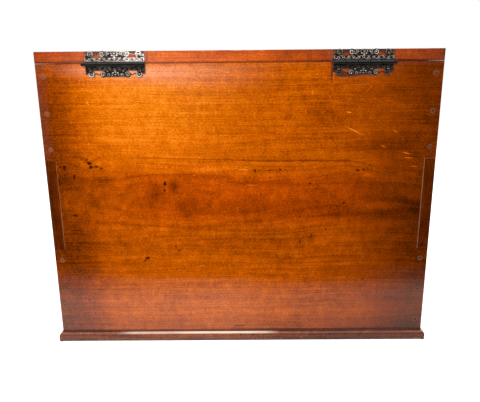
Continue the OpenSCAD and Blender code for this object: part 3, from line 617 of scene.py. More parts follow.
# old scratches and dents, pale where the varnish has gone: both ends, width, how pale
SCRATCHES = [(-138, 319, -168, 303.5, 1.5, 1.0), (-218, 282, -234, 278, 1.4, 1.0),
             (-221, 274, -238, 272.5, 1.4, 0.9), (-190, 291, -199, 287.5, 1.8, 0.9),
             (-141, 336, -150, 335, 2.4, 0.9), (-206, 311, -213, 308, 1.8, 0.8),
             (-134, 371, -176, 372, 1.2, 0.5), (-176, 373, -166, 359, 1.1, 0.5),
             (-232, 262, -244, 261, 1.4, 0.8), (-88, 343, -88.5, 331, 1.3, 0.7),
             (-96, 365, -96, 358, 1.4, 0.7), (-5, 237, -26, 236.6, 1.3, 0.8), (90, 352, 88, 349, 2.2, 0.5),
             (88, 334, 82, 332, 1.8, 0.5), (205, 300, 204, 290, 1.4, 0.5), (60, 253, 66, 250, 1.6, 0.7),
             (4, 259, -14, 258, 1.6, 0.7), (204, 352, 199, 347, 2.4, 0.5), (-118, 350, -150, 347, 1.1, 0.45),
             (-186, 349, -210, 351, 1.1, 0.4), (-144, 269, -160, 268, 1.3, 0.5),
             (-128, 97, -160, 101, 1.3, 0.35), (-206, 158, -236, 161, 1.1, 0.3),
             (50, 118, 62, 118, 2.4, 0.4), (-118, 358, -121, 354, 1.6, 0.6),
             (-168, 215, -172, 208, 1.4, 0.4), (-61, 322, -61, 314, 1.3, 0.4)]
scratches = 0.0
for ax, az, bx, bz, width, depth in SCRATCHES:
    scratches = scratches + back.scratch(ax, az, bx, bz, width, depth)

# pegs: a line of glue and dust round each; corner joints: a thin line of grey filler along the finger's edges
patchy = back.noise(back.z * 50.0, back.x * 30.0, 2.0, 3.0) * 0.5
on_right = back.step(back.x, 0.1, -0.1)
from_peg = peg_distance(back)
peg_ring = back.step(abs(from_peg - 3.3), 0.9, 0.1)
beside = (back.step(abs(abs(back.x) - INNER_X + 0.4 * MM), 0.65 * MM, 0.15 * MM)
          * back.step(back.z, FINGER_LOW - 1 * MM, FINGER_LOW)
          * back.step(back.z, FINGER_HIGH + 1 * MM, FINGER_HIGH))
across = back.step(abs(back.x), INNER_X - 1 * MM, INNER_X) * (
    back.step(abs(back.z - FINGER_LOW), 0.8 * MM, 0.1 * MM) * 0.4
    + back.step(abs(back.z - FINGER_HIGH), 0.8 * MM, 0.1 * MM))
low_left = up(235.0, 200.0)
filler = (beside + across) * (patchy * 0.8 + on_right * 0.46 + (1.0 - on_right) * (low_left * 0.28 - 0.08))

# the mark of a plate that once stood beside the right-hand hinge, with grime along it, and under that hinge's
# lower leaf grime and a painted shadow of the leaf
ghost = (back.spot(-121, 392, 4.2, 46, 0.3, 0.32) + back.spot(-139, 384, 46, 8, 0.2) * (0.34 + patchy * 0.2)
         - back.spot(-123.8, 393, 2.8, 36, 0.4, 0.2))
# a dark line at the joint under the lid; along the foot, above the moulding, grime and painted shade
joints = (back.step(back.z, BACK_TOP - 1.2 * MM, BACK_TOP) * 0.3
          + back.step(back.z, BACK_FOOT + 3 * MM, BACK_FOOT + 0.2 * MM) * 0.34)

tone = place + figure * (0.26 - over(370.0, 470.0) * 0.08) + line * -0.2 - hearts * 0.6 - pores * 0.05
tone = tone - ghost - joints - peg_ring * 0.12 + scratches * 0.6 + flecks * 0.3
ruddy = (below * up(160.0, 205.0) * back.step(abs(from_left - 280.0), 260.0, 90.0) * 0.7 + 0.2
         - back.spot(90, 350, 420, 130, 0.0, 0.3))
colour = back.mix(back.scale(tone, AMBER), back.scale(tone, RUSSET), ruddy + figure * 0.12)
# grime beside the right-hand hinge, and painted shadow under its lower leaf
grime_and_shadow = back.spot(-139, 383.5, 48, 10, 0.0, 0.45) + back.spot(-121, 392, 4.6, 46, 0.3, 0.45)
handled = back.step(from_left + ragged * 0.2, 16.0, 3.0) * up(262.0, 285.0)
colour = back.mix(colour, srgb(96, 52, 50), grime_and_shadow + handled * 0.3)
colour = back.mix(colour, srgb(150, 122, 108), filler * 0.75 + peg_ring * (0.25 + patchy * 0.3))
bare = back.step(back.y, INNER_Y + 0.6 * MM, INNER_Y)
colour = back.mix(colour, back.scale(figure * 0.3 + 0.5, BARE), bare)
rim = back.step(back.z, BACK_TOP - 0.8 * MM, BACK_TOP - 0.3 * MM)
coat = 1.0 - bare - scratches * 0.4 - joints * 1.6 - rim * 0.85
back_finish = back.varnish(colour, 0.42 + bare * 0.3, figure * 0.35 - pores - hearts - scratches * 0.5,
                           0.06 * MM, coat=coat, coat_roughness=0.04)
eased("back_board", back_finish, 0.45 * MM)


# The corner pegs
# Turned hardwood pegs, glued into holes through the corner joints and cut off a hair above the wood, so that
# their end grain shows.
PEG_R = 3.0 * MM
PEG_LEN = 35.0 * MM
PEG_PROUD = 0.3 * MM


def turned(profile, segments=40):
    """Turns a profile of (radius, height) pairs round the z axis. Point (k, a) is (radius k times the cosine
    and sine of angle a, height k); a radius of 0 at an end gives one closing point."""
    radius, height = np.array(profile, float).T
    angle = np.arange(segments) * 2 * np.pi / segments
    rings = np.stack([np.outer(radius, np.cos(angle)), np.outer(radius, np.sin(angle)),
                      np.repeat(height[:, None], segments, 1)], -1)
    index = np.arange(rings.size // 3).reshape(len(radius), segments)
    index[radius < 1e-9] = index[radius < 1e-9, :1]
    after = np.roll(index, -1, axis=1)
    quads = np.stack([index[:-1], after[:-1], after[1:], index[1:]], -1).reshape(-1, 4)
    return rings.reshape(-1, 3), quads


def copies(shape, places):
    """One shape set down at each place. A place is (origin, direction of its height axis, turn about it)."""
    verts, faces = shape
    all_verts, all_faces = [], []
    for origin, direction, turn in places:
        z = np.array(direction, float)
        x = np.cross([0, 0, 1], z) if abs(z[2]) < 0.9 else np.array([1.0, 0, 0])
        x /= np.linalg.norm(x)
        y = np.cross(z, x)
        x, y = x * math.cos(turn) + y * math.sin(turn), y * math.cos(turn) - x * math.sin(turn)
        all_faces.append(faces + len(verts) * len(all_verts))
        all_verts.append(verts @ np.array([x, y, z]) + np.array(origin))
    return np.concatenate(all_verts), np.concatenate(all_faces)


def new_piece(name, node, shape, material, sharp=38):
    """A piece made from points and four-cornered faces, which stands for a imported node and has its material
    slot. A face with a doubled corner becomes a triangle."""
    verts, faces = shape
    mesh = bpy.data.meshes.new(name)
    mesh.from_pydata(verts.tolist(), [], [list(dict.fromkeys(face)) for face in faces.tolist()])
    shell = bmesh.new()
    shell.from_mesh(mesh)
    bmesh.ops.delete(shell, geom=[v for v in shell.verts if not v.link_faces], context="VERTS")
    shell.to_mesh(mesh)
    shell.free()
    mesh.materials.append(material)
    mesh.polygons.foreach_set("use_smooth", np.ones(len(mesh.polygons), bool))
    mesh.set_sharp_from_angle(angle=math.radians(sharp))
    stand_for(mesh, name, node)


def peg_finish():
    wood = Wood("peg end grain", "x", 51.0)
    rear = wood.step(wood.y, 0.1495, 0.1502)
    growth = wood.speckle(700.0, 0.7)
    rim = wood.step(peg_distance(wood), 1.5, 2.7) * rear
    # the pegs on the right-hand side are darker, painted shade as on the back; those low down a little darker
    tone = growth * 0.12 + 0.44 - rim * 0.1 - wood.step(wood.x, 0.1, -0.1) * 0.2
    tone = tone - wood.step(wood.z, 0.2, 0.08) * 0.08
    colour = wood.mix(wood.scale(tone, AMBER), srgb(124, 100, 88), rim * (growth * 0.35 + 0.5))
    return wood.varnish(colour, 0.5, growth, coat=0.5)


SIDE_PEG_Y = 142.5 * MM      # the pegs through the sides' fingers
SIDE_PEG_ROWS = (159.667, 208.0, 256.333)
peg = turned([(0, -PEG_LEN), (2.8 * MM, -PEG_LEN), (PEG_R, -PEG_LEN + 0.2 * MM), (PEG_R, -0.05 * MM),
              (2.86 * MM, 0.16 * MM), (2.5 * MM, 0.26 * MM), (1.4 * MM, PEG_PROUD), (0, 0.26 * MM)])
peg_places = [((side * PEG_X * MM, end * OUTER_Y, row * MM), (0, end, 0), row)
              for end, rows in ((1, PEG_ROWS), (-1, PEG_ROWS[3:])) for side in (-1, 1) for row in rows]
peg_places += [((side * OUTER_X, SIDE_PEG_Y, row * MM), (side, 0, 0), row)
               for side in (-1, 1) for row in SIDE_PEG_ROWS]
new_piece("corner_peg_ends", "corner_pegs", copies(peg, peg_places), peg_finish())


# The front apron
# The board over the drawers that closes the bottle well, of the case's wood, varnished outside and bare
# inside. It is pegged between the sides, and the lock sits behind it.
apron_finish = case_board("apron wood", "x", 61.0, 0.5,
                          lambda wood: wood.step(wood.y, -INNER_Y - 0.6 * MM, -INNER_Y))
eased("front_apron", apron_finish, 0.45 * MM)


# Shelves and partitions
# Boards halved across each other and housed in the sides. Their front edges were stained and varnished with
# the case; the rest stays bare.
STAINED_Y = -148.6 * MM      # how far in the stain of the front edges reaches


def shelf_finish(name, grain, seed):
    return case_board(name, grain, seed, 0.46,
                      lambda wood: wood.step(wood.y, STAINED_Y, STAINED_Y + 1.4 * MM))


shelf_wood = shelf_finish("shelf wood", "x", 71.0)
partition_wood = shelf_finish("partition wood", "y", 72.0)
for node in ("upper_shelf", "lower_shelf"):
    eased(node, shelf_wood, 0.4 * MM)
for node in ("left_partition", "right_partition"):
    eased(node, partition_wood, 0.4 * MM)


# The bottle well
# A thin floor, and an egg crate of two long and five cross dividers, all of bare pale wood, a little stained
# by bottles.
def lining_board(name, grain, seed, stained=0.0):
    wood = Wood(name, grain, seed)
    pores = wood.pores()
    figure = wood.figure((0.3, 0.1))
    damp = wood.noise(wood.x * 24.0, wood.y * 24.0, wood.z * 24.0 + seed, 3.0, 0.6)
    tone = figure * 0.28 + 0.62 - pores * 0.15 - wood.step(damp, 0.15, 0.9) * stained * 0.3
    colour = wood.scale(tone, shades((92, 62, 38), (140, 102, 66), (182, 142, 98), (208, 174, 130)))
    return wood.varnish(colour, 0.62, figure * 0.3 - pores, coat=0.05)


well_wood = lining_board("well floor wood", "x", 81.0, 0.8)
eased("well_floor", well_wood, 0.3 * MM)
eased("long_well_dividers", well_wood, 0.5 * MM)
eased("cross_well_dividers", lining_board("cross divider wood", "y", 82.0, 0.5), 0.5 * MM)


# The lock
# A brass box lock let into the back of the apron, with a flange at each end, a sliding bolt and two screws; a
# round keyhole plate with a beaded rim is pinned over its keyhole in front.
def brass_finish(name, seed, dull=0.5):
    brass = Metal(name)
    patina = brass.noise(brass.x * 160.0 + seed, brass.y * 160.0, brass.z * 160.0, 4.0, 0.65)
    rubbed = brass.noise(brass.x * 1400.0, brass.y * 90.0, brass.z * 1400.0, 2.0)
    tone = patina * 0.35 + rubbed * 0.12 + dull
    colour = brass.scale(tone, shades((64, 44, 22), (128, 94, 48), (178, 140, 80), (212, 180, 118)))
    return brass.worn(colour, 0.36 - patina * 0.08, 1.0, patina + rubbed * 0.5)


lock_brass = brass_finish("lock brass", 91.0)
for node in ("lock_case", "lock_bolt"):
    eased(node, lock_brass, 0.2 * MM)
eased("lock_fixings", lock_brass, 0.08 * MM)
eased("keyhole_plate", brass_finish("keyhole plate brass", 92.0, 0.6), 0.22 * MM)
KEYHOLE = (0, -151.2 * MM, 380.0 * MM)         # the middle of the plate's face
BEAD_RING, BEAD_R = 9.7 * MM, 0.55 * MM        # how far round the keyhole the bead runs, and its own radius
bead_profile = [(BEAD_RING + BEAD_R * math.cos(a), BEAD_R * math.sin(a))
                for a in np.linspace(0, 2 * np.pi, 13)]
bead = copies(turned(bead_profile, 64), [(KEYHOLE, (0, -1, 0), 0)])
new_piece("keyhole_bead", "keyhole_plate", bead, lock_brass)


# The drawers
# Nine drawers: a front of the case's wood with a scratched bead round it, sides, back and bottom of pale
# wood, dovetailed, and a turned knob whose tenon is glued through the front.
DRAWER_PITCH_X, DRAWER_PITCH_Z = 170.667 * MM, 88.78 * MM
LOW_DRAWER_Z = 54.6 * MM     # the middle of the lowest row


def drawer_front_finish():
    wood = Wood("drawer front wood", "x", 101.0)
    column = wood.math("FLOOR", wood.x / DRAWER_PITCH_X + 0.5)
    row = wood.math("FLOOR", (wood.z - BACK_FOOT) / DRAWER_PITCH_Z)
    # each front is cut from another place in the board
    wood.along = wood.along + column * 1.7 + row * 2.9
    wood.across = wood.across + column * 0.037 - row * 0.081
    pores = wood.pores()
    figure = wood.figure((0.02, -0.28))
    bare = wood.step(wood.y, STAINED_Y, STAINED_Y + 1.2 * MM)
    from_knob = wood.length(wood.x - column * DRAWER_PITCH_X, wood.z - (row * DRAWER_PITCH_Z + LOW_DRAWER_Z))
    rubbed = wood.step(from_knob, 34 * MM, 12 * MM)
    tone = figure * 0.34 + 0.5 - pores * 0.12 + (column * 1.3 + row * 2.1) * 0.02 - rubbed * 0.08
    colour = wood.mix(wood.scale(tone, AMBER), wood.scale(tone, RUSSET), 0.45)
    colour = wood.mix(colour, wood.scale(figure * 0.3 + 0.5, BARE), bare)
    return wood.varnish(colour, 0.42, figure * 0.3 - pores, coat=0.95 - bare * 0.9)


def scratch_bead(piece, margin, groove, sunk):
    """Presses a fine groove into the front of a board, all round at margin from its edges: the front is inset
    three times, up to the groove, down to its bottom and up again."""
    shape = bmesh.new()
    shape.from_mesh(piece.data)
    front_y = min(v.co.y for v in shape.verts)
    face = [f for f in shape.faces if f.normal.y < -0.99 and f.calc_center_median().y < front_y + 1e-5]
    for width, depth in ((margin, 0.0), (groove / 2, -sunk), (groove / 2, sunk)):
        bmesh.ops.inset_region(shape, faces=face, thickness=width, depth=depth, use_even_offset=True)
    shape.to_mesh(piece.data)
    shape.free()


# a knob's radius and height off the drawer's front in millimetres, from the end of its tenon to its top
knob_profile = [(0, -11.8), (3.7, -11.8), (4.0, -11.4), (4.0, -0.1), (7.0, 0.0), (7.0, 0.9), (6.7, 1.4),
                (6.0, 1.6), (5.2, 1.9), (4.75, 2.8), (4.6, 4.0), (4.7, 5.4), (5.4, 7.0), (6.9, 8.6),
                (8.9, 10.0), (10.0, 11.2), (10.45, 12.6), (10.5, 13.6), (10.4, 14.6), (9.9, 15.9),
                (9.1, 16.7), (8.6, 16.75), (8.3, 16.55), (7.9, 16.7), (7.2, 17.9), (5.6, 19.0), (3.6, 19.6),
                (1.8, 19.9), (0, 20.0)]


def knob_finish():
    wood = Wood("knob wood", "y", 111.0)
    figure = wood.figure((0.9, 0.7), fine=0.6)
    # the knob is darker from its foot up over the collar and neck
    tone = figure * 0.3 + 0.42 - wood.step(wood.y, -155.5 * MM, -151.0 * MM) * 0.25
    colour = wood.scale(tone, shades((26, 12, 7), (52, 24, 12), (86, 42, 22), (120, 66, 36)))
    return wood.varnish(colour, 0.4, figure * 0.3, coat=1.0, coat_roughness=0.12)


knob = turned([(r * MM, h * MM) for r, h in knob_profile], 56)
drawer_front_wood = drawer_front_finish()
drawer_box_wood = lining_board("drawer box wood", "y", 121.0, 0.3)
knob_wood = knob_finish()
for row, row_name in enumerate(("bottom", "middle", "top")):
    for column, column_name in enumerate(("left", "centre", "right")):
        drawer = f"{row_name}_{column_name}_drawer"
        scratch_bead(copy_of(drawer + "_front", drawer_front_wood), 3.2 * MM, 1.1 * MM, 0.45 * MM)
        eased(drawer + "_box", drawer_box_wood, 0.3 * MM)
        low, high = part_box(drawer + "_front")
        middle = ((low[0] + high[0]) / 2, -OUTER_Y, (low[2] + high[2]) / 2)
        new_piece(drawer + "_turned_knob", drawer + "_knob",
                  copies(knob, [(middle, (0, -1, 0), row + 2.0 * column)]), knob_wood)


# The lid
# One board of the same make as the back, rounded along its front edge, with two cross battens screwed on
# inside to keep it flat and the lock's link plate let in near its front edge.
lid = Wood("lid wood", "x", 131.0)
lid.across, lid.depth = lid.y, lid.z
LID_TOP, LID_FOOT = 416.3 * MM, 401.3 * MM
HINGE_X = 161.5              # how far each hinge's middle is from the lid's, in millimetres
GHOST_X = 119.3 * MM         # the edge of a plate that once lay on the inner side of each hinge
from_left = OUTER_X - lid.x
figure = lid.figure((0.03, 0.33))
pores = lid.pores()
ends = lid.step(abs(lid.x), OUTER_X - 1 * MM, OUTER_X - 0.2 * MM)
rear = lid.step(lid.y, OUTER_Y - 0.8 * MM, OUTER_Y - 0.1 * MM)
ragged = lid.noise(lid.x * 12.0, lid.y * 12.0, lid.z * 14.0) * 0.012
handled = lid.step(lid.y + ragged, -0.105, -0.15) + lid.step(abs(lid.x) + ragged, 0.225, 0.262) * 0.6
uneven = lid.z + lid.noise(lid.x * 60.0, lid.y * 60.0, 1.0, 3.0) * 1.2 * MM
# the rear face's top arris is pale in broken stretches: wear, and a painted highlight
worn_and_lit_arris = (lid.step(uneven, LID_TOP - 1.4 * MM, LID_TOP)
              * lid.step(lid.noise(lid.x * 30.0, lid.y * 30.0, 4.0), 0.0, 0.6) * rear)
# the rear face's tone is set by distance from the left end, and the top darkens towards the right: partly the
# board's tone, partly painted light from the left
rear_tone = (0.47 + lid.step(from_left, 0.03, 0.14) * 0.18 - lid.step(from_left, 0.27, 0.325) * 0.17
             - lid.step(from_left, 0.3, 0.42) * 0.09 - lid.step(from_left, 0.49, 0.53) * 0.06
             - lid.step(from_left, 0.024, 0.008) * 0.1 - lid.step(lid.z, LID_FOOT + 3 * MM, LID_FOOT) * 0.2)
top_tone = 0.66 - lid.step(from_left, 0.1, 0.53) * 0.2 - handled * 0.2
tone = rear_tone * rear + top_tone * (1.0 - rear) + figure * 0.3 - pores * 0.06 - ends * 0.2
colour = lid.mix(lid.scale(tone, AMBER), lid.scale(tone, RUSSET), 0.35 + rear * 0.55)
ghost = lid.step(abs(abs(lid.x) - GHOST_X), 1.7 * MM, 0.8 * MM) * rear
colour = lid.mix(colour, srgb(104, 72, 62), ghost * 0.7)
# the rear face is darker above the hinges, behind the tops of the lid's leaves
dark_behind_leaf_tops = (lid.step(abs(abs(lid.x) - HINGE_X * MM), 41 * MM, 37 * MM)
         * lid.step(lid.z, 412.2 * MM, 414.2 * MM) * rear)
# the pale arris: wear with a painted highlight
colour = lid.mix(colour, srgb(236, 196, 160), worn_and_lit_arris * 0.6)
colour = lid.mix(colour, srgb(52, 34, 30), dark_behind_leaf_tops * 0.85)
inside = lid.step(lid.z, LID_FOOT + 0.06 * MM, LID_FOOT + 0.01 * MM)
colour = lid.mix(colour, lid.scale(figure * 0.3 + 0.5, BARE), inside)
lid_finish = lid.varnish(colour, 0.44 + inside * 0.25, figure * 0.35 - pores, 0.06 * MM,
                         coat=1.0 - inside - ends * 0.5, coat_roughness=0.08)
eased("lid_board", lid_finish, 0.45 * MM)
eased("lid_battens", lining_board("batten wood", "y", 141.0), 1.2 * MM)
eased("lid_screws", brass_finish("lid screw brass", 142.0, 0.45), 0.06 * MM)
eased("link_plate", lock_brass, 0.15 * MM)


# The hinges
# A pair of ornate surface hinges of cast iron, blacked and bronzed, the high places rubbed bright. Each leaf
# has curled lobes, a palmette and a vine along the barrel, and four round-headed screws hold it. A steel pin
# with a steeple end runs through the five knuckles.
# all in millimetres; on a leaf, u runs along the pin from the leaf's middle and v runs away from the pin
HINGE_LEN = 78.0
AXIS_Y, AXIS_Z = 153.0, 400.0
WALL_Y = 150.0
BARREL_R = 2.75
LEAF_TOP = 3.1              # where a leaf's plate begins, measured from the pin
BAND_LOW = 8.2              # where the solid band along the barrel ends and the lobes begin
PLATE, CREST = 1.1, 2.46    # how high the plate and the highest relief stand off the wood
CORNER_U, CORNER_V, CORNER_R = 31.2, 12.7, 4.2
SCROLL_U, SCROLL_V, SCROLL_R = 15.9, 13.0, 3.9
LAND_V = 15.9               # the scalloped edge between the scrolls
SCREW_V = 9.6
SCREW_U = [-32.0, -32.0 / 3, 32.0 / 3, 32.0]
MESH_STEP = 0.26            # between the points of a leaf's grid


def slab(u, v, u0, u1, v0, v1):
    """How far (u, v) lies outside a rectangle; less than 0 inside it."""
    return np.maximum(np.abs(u - (u0 + u1) / 2) - (u1 - u0) / 2, np.abs(v - (v0 + v1) / 2) - (v1 - v0) / 2)


def melt(a, b, width=0.7):
    """The smaller of two distances, with the corner between them filled like a casting's."""
    h = np.clip(0.5 + 0.5 * (b - a) / width, 0, 1)
    return b * (1 - h) + a * h - width * h * (1 - h)


def leaf_outline(u, v):
    """How far (u, v) lies outside the leaf: band, corner lobes with their barbs, scrolls, a tendril from lobe
    to scroll, and the scalloped land between the scrolls melted together, and the screw holes cut out."""
    side = np.abs(u)
    shape = slab(u, v, -HINGE_LEN / 2, HINGE_LEN / 2, LEAF_TOP, BAND_LOW)
    shape = melt(shape, np.hypot(side - CORNER_U, v - CORNER_V) - CORNER_R)
    shape = melt(shape, np.hypot(side - SCREW_U[3], v - SCREW_V) - 3.4)
    shape = melt(shape, slab(side, v, CORNER_U + 2.0, HINGE_LEN / 2, LEAF_TOP, 11.4), 0.5)
    shape = melt(shape, np.abs(side - 37.6) * 0.5 + np.abs(v - 12.0) - 1.1, 0.5)
    scallops = LAND_V + 0.45 * np.abs(np.cos(np.pi * u / 4.4))
    shape = melt(shape, np.maximum(slab(u, v, -SCROLL_U, SCROLL_U, BAND_LOW - 1, 17), (v - scallops) * 0.9))
    shape = melt(shape, np.hypot(side - SCROLL_U, v - SCROLL_V) - SCROLL_R)
    tendril = 12.6 + 0.8 * np.sin((side - 19.5) * np.pi / 3.8)
    shape = melt(shape, np.maximum(np.abs(v - tendril) - 0.5, slab(side, v, SCROLL_U, CORNER_U, 9, 16)), 0.4)
    shape = melt(shape, side * 1.3 + np.abs(v - 16.2) - 0.7, 0.4)
    shape = np.maximum(shape, -slab(u, v, -50, 50, -5, LEAF_TOP))
    for su in SCREW_U:
        shape = np.maximum(shape, 1.15 - np.hypot(u - su, v - SCREW_V))
    return shape


def ridge(distance, width):
    """A rounded ridge along the places where distance is 0."""
    return np.exp(-(distance / width) ** 2)


def curl(u, v, hand, pitch, reach):
    """A volute: a ridge along a spiral, where radius over pitch and the angle's share of a turn agree."""
    radius = np.hypot(u, v)
    turn = radius / pitch - hand * np.arctan2(v, u) / (2 * np.pi)
    return (0.5 + 0.5 * np.cos(2 * np.pi * turn)) ** 1.3 * np.clip((reach - radius) / 0.5, 0, 1)


def leaf_relief(u, v, outside, rng):
    """How high the casting stands at (u, v): the plate, a rim, a row of scrolls and leaves on the band, a row
    of beads along the barrel, an eye in each lobe, a fan of petals, and a sand-cast roughness."""
    side = np.abs(u)
    relief = 0.75 * ridge(outside + 0.55, 0.42)
    # on the band, running scrolls turn left and right by turns, and a stem joins them
    pitch = 6.5
    cell = np.round(u / pitch)
    hand = np.where(cell % 2 == 0, 1.0, -1.0)
    across = 6.1 + 0.35 * hand
    scrolls = curl(u - cell * pitch, v - across, hand, 1.75, 2.75)
    stem = ridge(v - 6.1 - 1.7 * np.sin(np.pi * u / pitch), 0.45) * np.clip((side % pitch - 1.2) / 0.8, 0, 1)
    on_band = np.clip((BAND_LOW + 0.5 - v) / 0.6, 0, 1)
    relief = np.maximum(relief, np.maximum(scrolls * 1.25, stem) * on_band)
    bead = 0.8 * ridge(v - 3.7, 0.42) * (0.6 + 0.4 * np.cos(2 * np.pi * u / 1.9))
    relief = np.maximum(relief, bead)
    # each corner lobe is a ring round a domed eye with a slit under its lid
    ring = np.hypot(side - CORNER_U, v - CORNER_V)
    lobe = 1.3 * ridge(ring - 3.1, 0.75) * np.clip((v - 9.6) / 1.5, 0, 1)
    eye = np.hypot((side - CORNER_U) / 2.1, (v - 12.6) / 1.1)
    lobe = np.maximum(lobe, 1.15 * np.clip(1 - eye, 0, 1) ** 0.5)
    # the scrolls wind up
    lobe = np.maximum(lobe, 1.25 * curl(side - SCROLL_U, v - SCROLL_V, -1, 2.3, 3.7))
    relief = np.maximum(relief, lobe * np.clip((v - 8.6) / 0.8, 0, 1))
    # the palmette fans out downwards from the band; smaller leaves lie between it and the scrolls
    fan_v = v - 7.6
    spread = np.arctan2(u, np.maximum(fan_v, 0.01))
    reach = np.hypot(u, fan_v)
    petals = (np.abs(np.cos(spread * 4.5)) * np.clip((reach - 1.3) / 1.0, 0, 1)
              * np.clip((8.3 - reach) / 0.8, 0, 1))
    petals *= 0.6 + 0.4 * np.cos(2 * np.pi * (reach - 0.5 - 0.5 * np.abs(u)) / 2.5)
    petals *= np.clip((1.25 - np.abs(spread)) / 0.2, 0, 1) * np.clip((v - BAND_LOW) / 0.5, 0, 1)
    leaves = curl(side - 8.3, v - 13.6, 1, 2.0, 2.6)
    relief = np.maximum(relief, 1.25 * np.maximum(petals, leaves * np.clip((v - 11.0) / 0.6, 0, 1)))
    relief = np.maximum(relief, 1.35 * np.clip(1 - np.hypot(u, v - 8.6) / 1.7, 0, 1) ** 0.5)
    grit = rng.normal(size=u.shape)
    grit = (grit + np.roll(grit, 1, 0) + np.roll(grit, 1, 1) + np.roll(grit, (1, 1), (0, 1))) / 4
    relief = relief + 0.1 * grit
    # flat lands under the screw heads
    for su in SCREW_U:
        land = np.clip((2.75 - np.hypot(u - su, v - SCREW_V)) / 0.5, 0, 1)
        relief = relief * (1 - land) + 0.28 * land
    return np.clip(PLATE + relief, 0.6, CREST)


def leaf_shell(seed):
    """A leaf as a closed shell: the grid points nearest the outline are drawn onto it, the front stands at
    the relief's height, the back lies flat on the wood, and walls join the two along every edge."""
    us = np.arange(-HINGE_LEN / 2 - 1.1, HINGE_LEN / 2 + 1.11, MESH_STEP)
    vs = np.arange(LEAF_TOP - 0.3, 17.4, MESH_STEP)
    u, v = np.meshgrid(us, vs, indexing="ij")
    outside = leaf_outline(u, v)
    nudge = 0.02
    slope_u = (leaf_outline(u + nudge, v) - leaf_outline(u - nudge, v)) / (2 * nudge)
    slope_v = (leaf_outline(u, v + nudge) - leaf_outline(u, v - nudge)) / (2 * nudge)
    steep = np.maximum(slope_u ** 2 + slope_v ** 2, 0.25)
    near = np.abs(outside) < 0.72 * MESH_STEP
    u = u - np.where(near, outside * slope_u / steep, 0)
    v = v - np.where(near, outside * slope_v / steep, 0)
    height = leaf_relief(u, v, np.minimum(outside, 0), np.random.default_rng(seed))
    height = np.where(near, PLATE - 0.3, height)
    index = np.arange(u.size).reshape(u.shape)
    quads = np.stack([index[:-1, :-1], index[1:, :-1], index[1:, 1:], index[:-1, 1:]], -1).reshape(-1, 4)
    quads = quads[outside.ravel()[quads].mean(1) < 0]
    front = np.stack([u.ravel(), height.ravel(), v.ravel()], -1)
    rear = front * [1, 0, 1]
    edges = np.concatenate([quads[:, [i, (i + 1) % 4]] for i in range(4)])
    _, first, count = np.unique(np.sort(edges, 1), axis=0, return_index=True, return_counts=True)
    rim = edges[first[count == 1]]
    walls = np.stack([rim[:, 1], rim[:, 0], rim[:, 0] + u.size, rim[:, 1] + u.size], -1)
    return np.concatenate([front, rear]), np.concatenate([quads, quads[:, ::-1] + u.size, walls])


def knuckle(u0, u1, foot):
    """One knuckle with its foot: a closed profile of (height off the wood, place below the pin) carried along
    the pin, drawn in a little at both ends. foot is where the profile leaves the wood."""
    angle = np.radians(np.arange(30, 332, 8))
    round_part = np.stack([AXIS_Y - WALL_Y - BARREL_R * np.cos(angle), BARREL_R * np.sin(angle)], -1)[::-1]
    profile = np.concatenate([round_part, [[1.2, 2.3], [1.2, 3.9], [0.0, 3.9], [0.0, foot]]])
    centre = np.array([AXIS_Y - WALL_Y, 0.0])
    rings = []
    for u, drawn in ((u0, 0.0), (u0, 0.82), (u0 + 0.12, 0.93), (u0 + 0.4, 1.0), (u1 - 0.4, 1.0),
                     (u1 - 0.12, 0.93), (u1, 0.82), (u1, 0.0)):
        ring = centre + (profile - centre) * drawn
        rings.append(np.column_stack([np.full(len(ring), u), ring]))
    n = len(profile)
    index = np.arange(len(rings) * n).reshape(len(rings), n)
    index[0], index[-1] = index[0, 0], index[-1, 0]
    after = np.roll(index, -1, axis=1)
    return np.concatenate(rings), np.stack([index[:-1], index[1:], after[1:], after[:-1]], -1).reshape(-1, 4)


def join(shapes):
    """Several shapes as one: their points one after another, their faces counted on."""
    starts = np.cumsum([0] + [len(verts) for verts, faces in shapes])
    return (np.concatenate([verts for verts, faces in shapes]),
            np.concatenate([faces + start for (verts, faces), start in zip(shapes, starts)]))


def hinge_leaf(side, of_lid):
    """A whole leaf in its place. The lid's leaf is the case's turned upside down, which turns its faces
    inside out, so their corners are taken the other way round there."""
    pitch = HINGE_LEN / 5
    shapes = [leaf_shell(3 + of_lid + (side > 0) * 2)]
    for k in range(int(of_lid), 5, 2):
        start = -HINGE_LEN / 2 + k * pitch
        shapes.append(knuckle(start + 0.15, start + pitch - 0.15, 1.6 if of_lid else -0.4))
    verts, faces = join(shapes)
    up = 1 if of_lid else -1
    place = np.column_stack([side * HINGE_X + verts[:, 0], WALL_Y + verts[:, 1], AXIS_Z + up * verts[:, 2]])
    # the first order of corners reverses a face and the second doesn't, and both choose how it is split in two
    return place * MM, faces[:, [0, 3, 2, 1] if of_lid else [3, 0, 1, 2]]


hinge = Metal("blacked and bronzed iron")
lift = (hinge.y - WALL_Y * MM) * 1000.0
cast = hinge.speckle(500.0, 0.7)
patchy = hinge.noise(hinge.x * 60.0, hinge.y * 60.0, hinge.z * 90.0, 3.0, 0.6)
on_plate = hinge.step(lift, CREST + 0.35, CREST + 0.1)
# the leaf on the lid at the left is bright, most of all its inner half: rubbed by handling, and a painted
# highlight where it catches the light
on_lid = hinge.step(hinge.z, 0.4005, 0.4025)
inner_half = hinge.step(hinge.x + patchy * 0.02, 0.172, 0.142)
handled = on_lid * hinge.step(hinge.x, 0.06, 0.1) * (0.35 + 0.65 * inner_half)
lobes = hinge.step(hinge.length(abs(abs(hinge.x) - HINGE_X * MM) - CORNER_U * MM,
                                abs(hinge.z - AXIS_Z * MM) - 13.6 * MM), 5.0 * MM, 3.6 * MM)
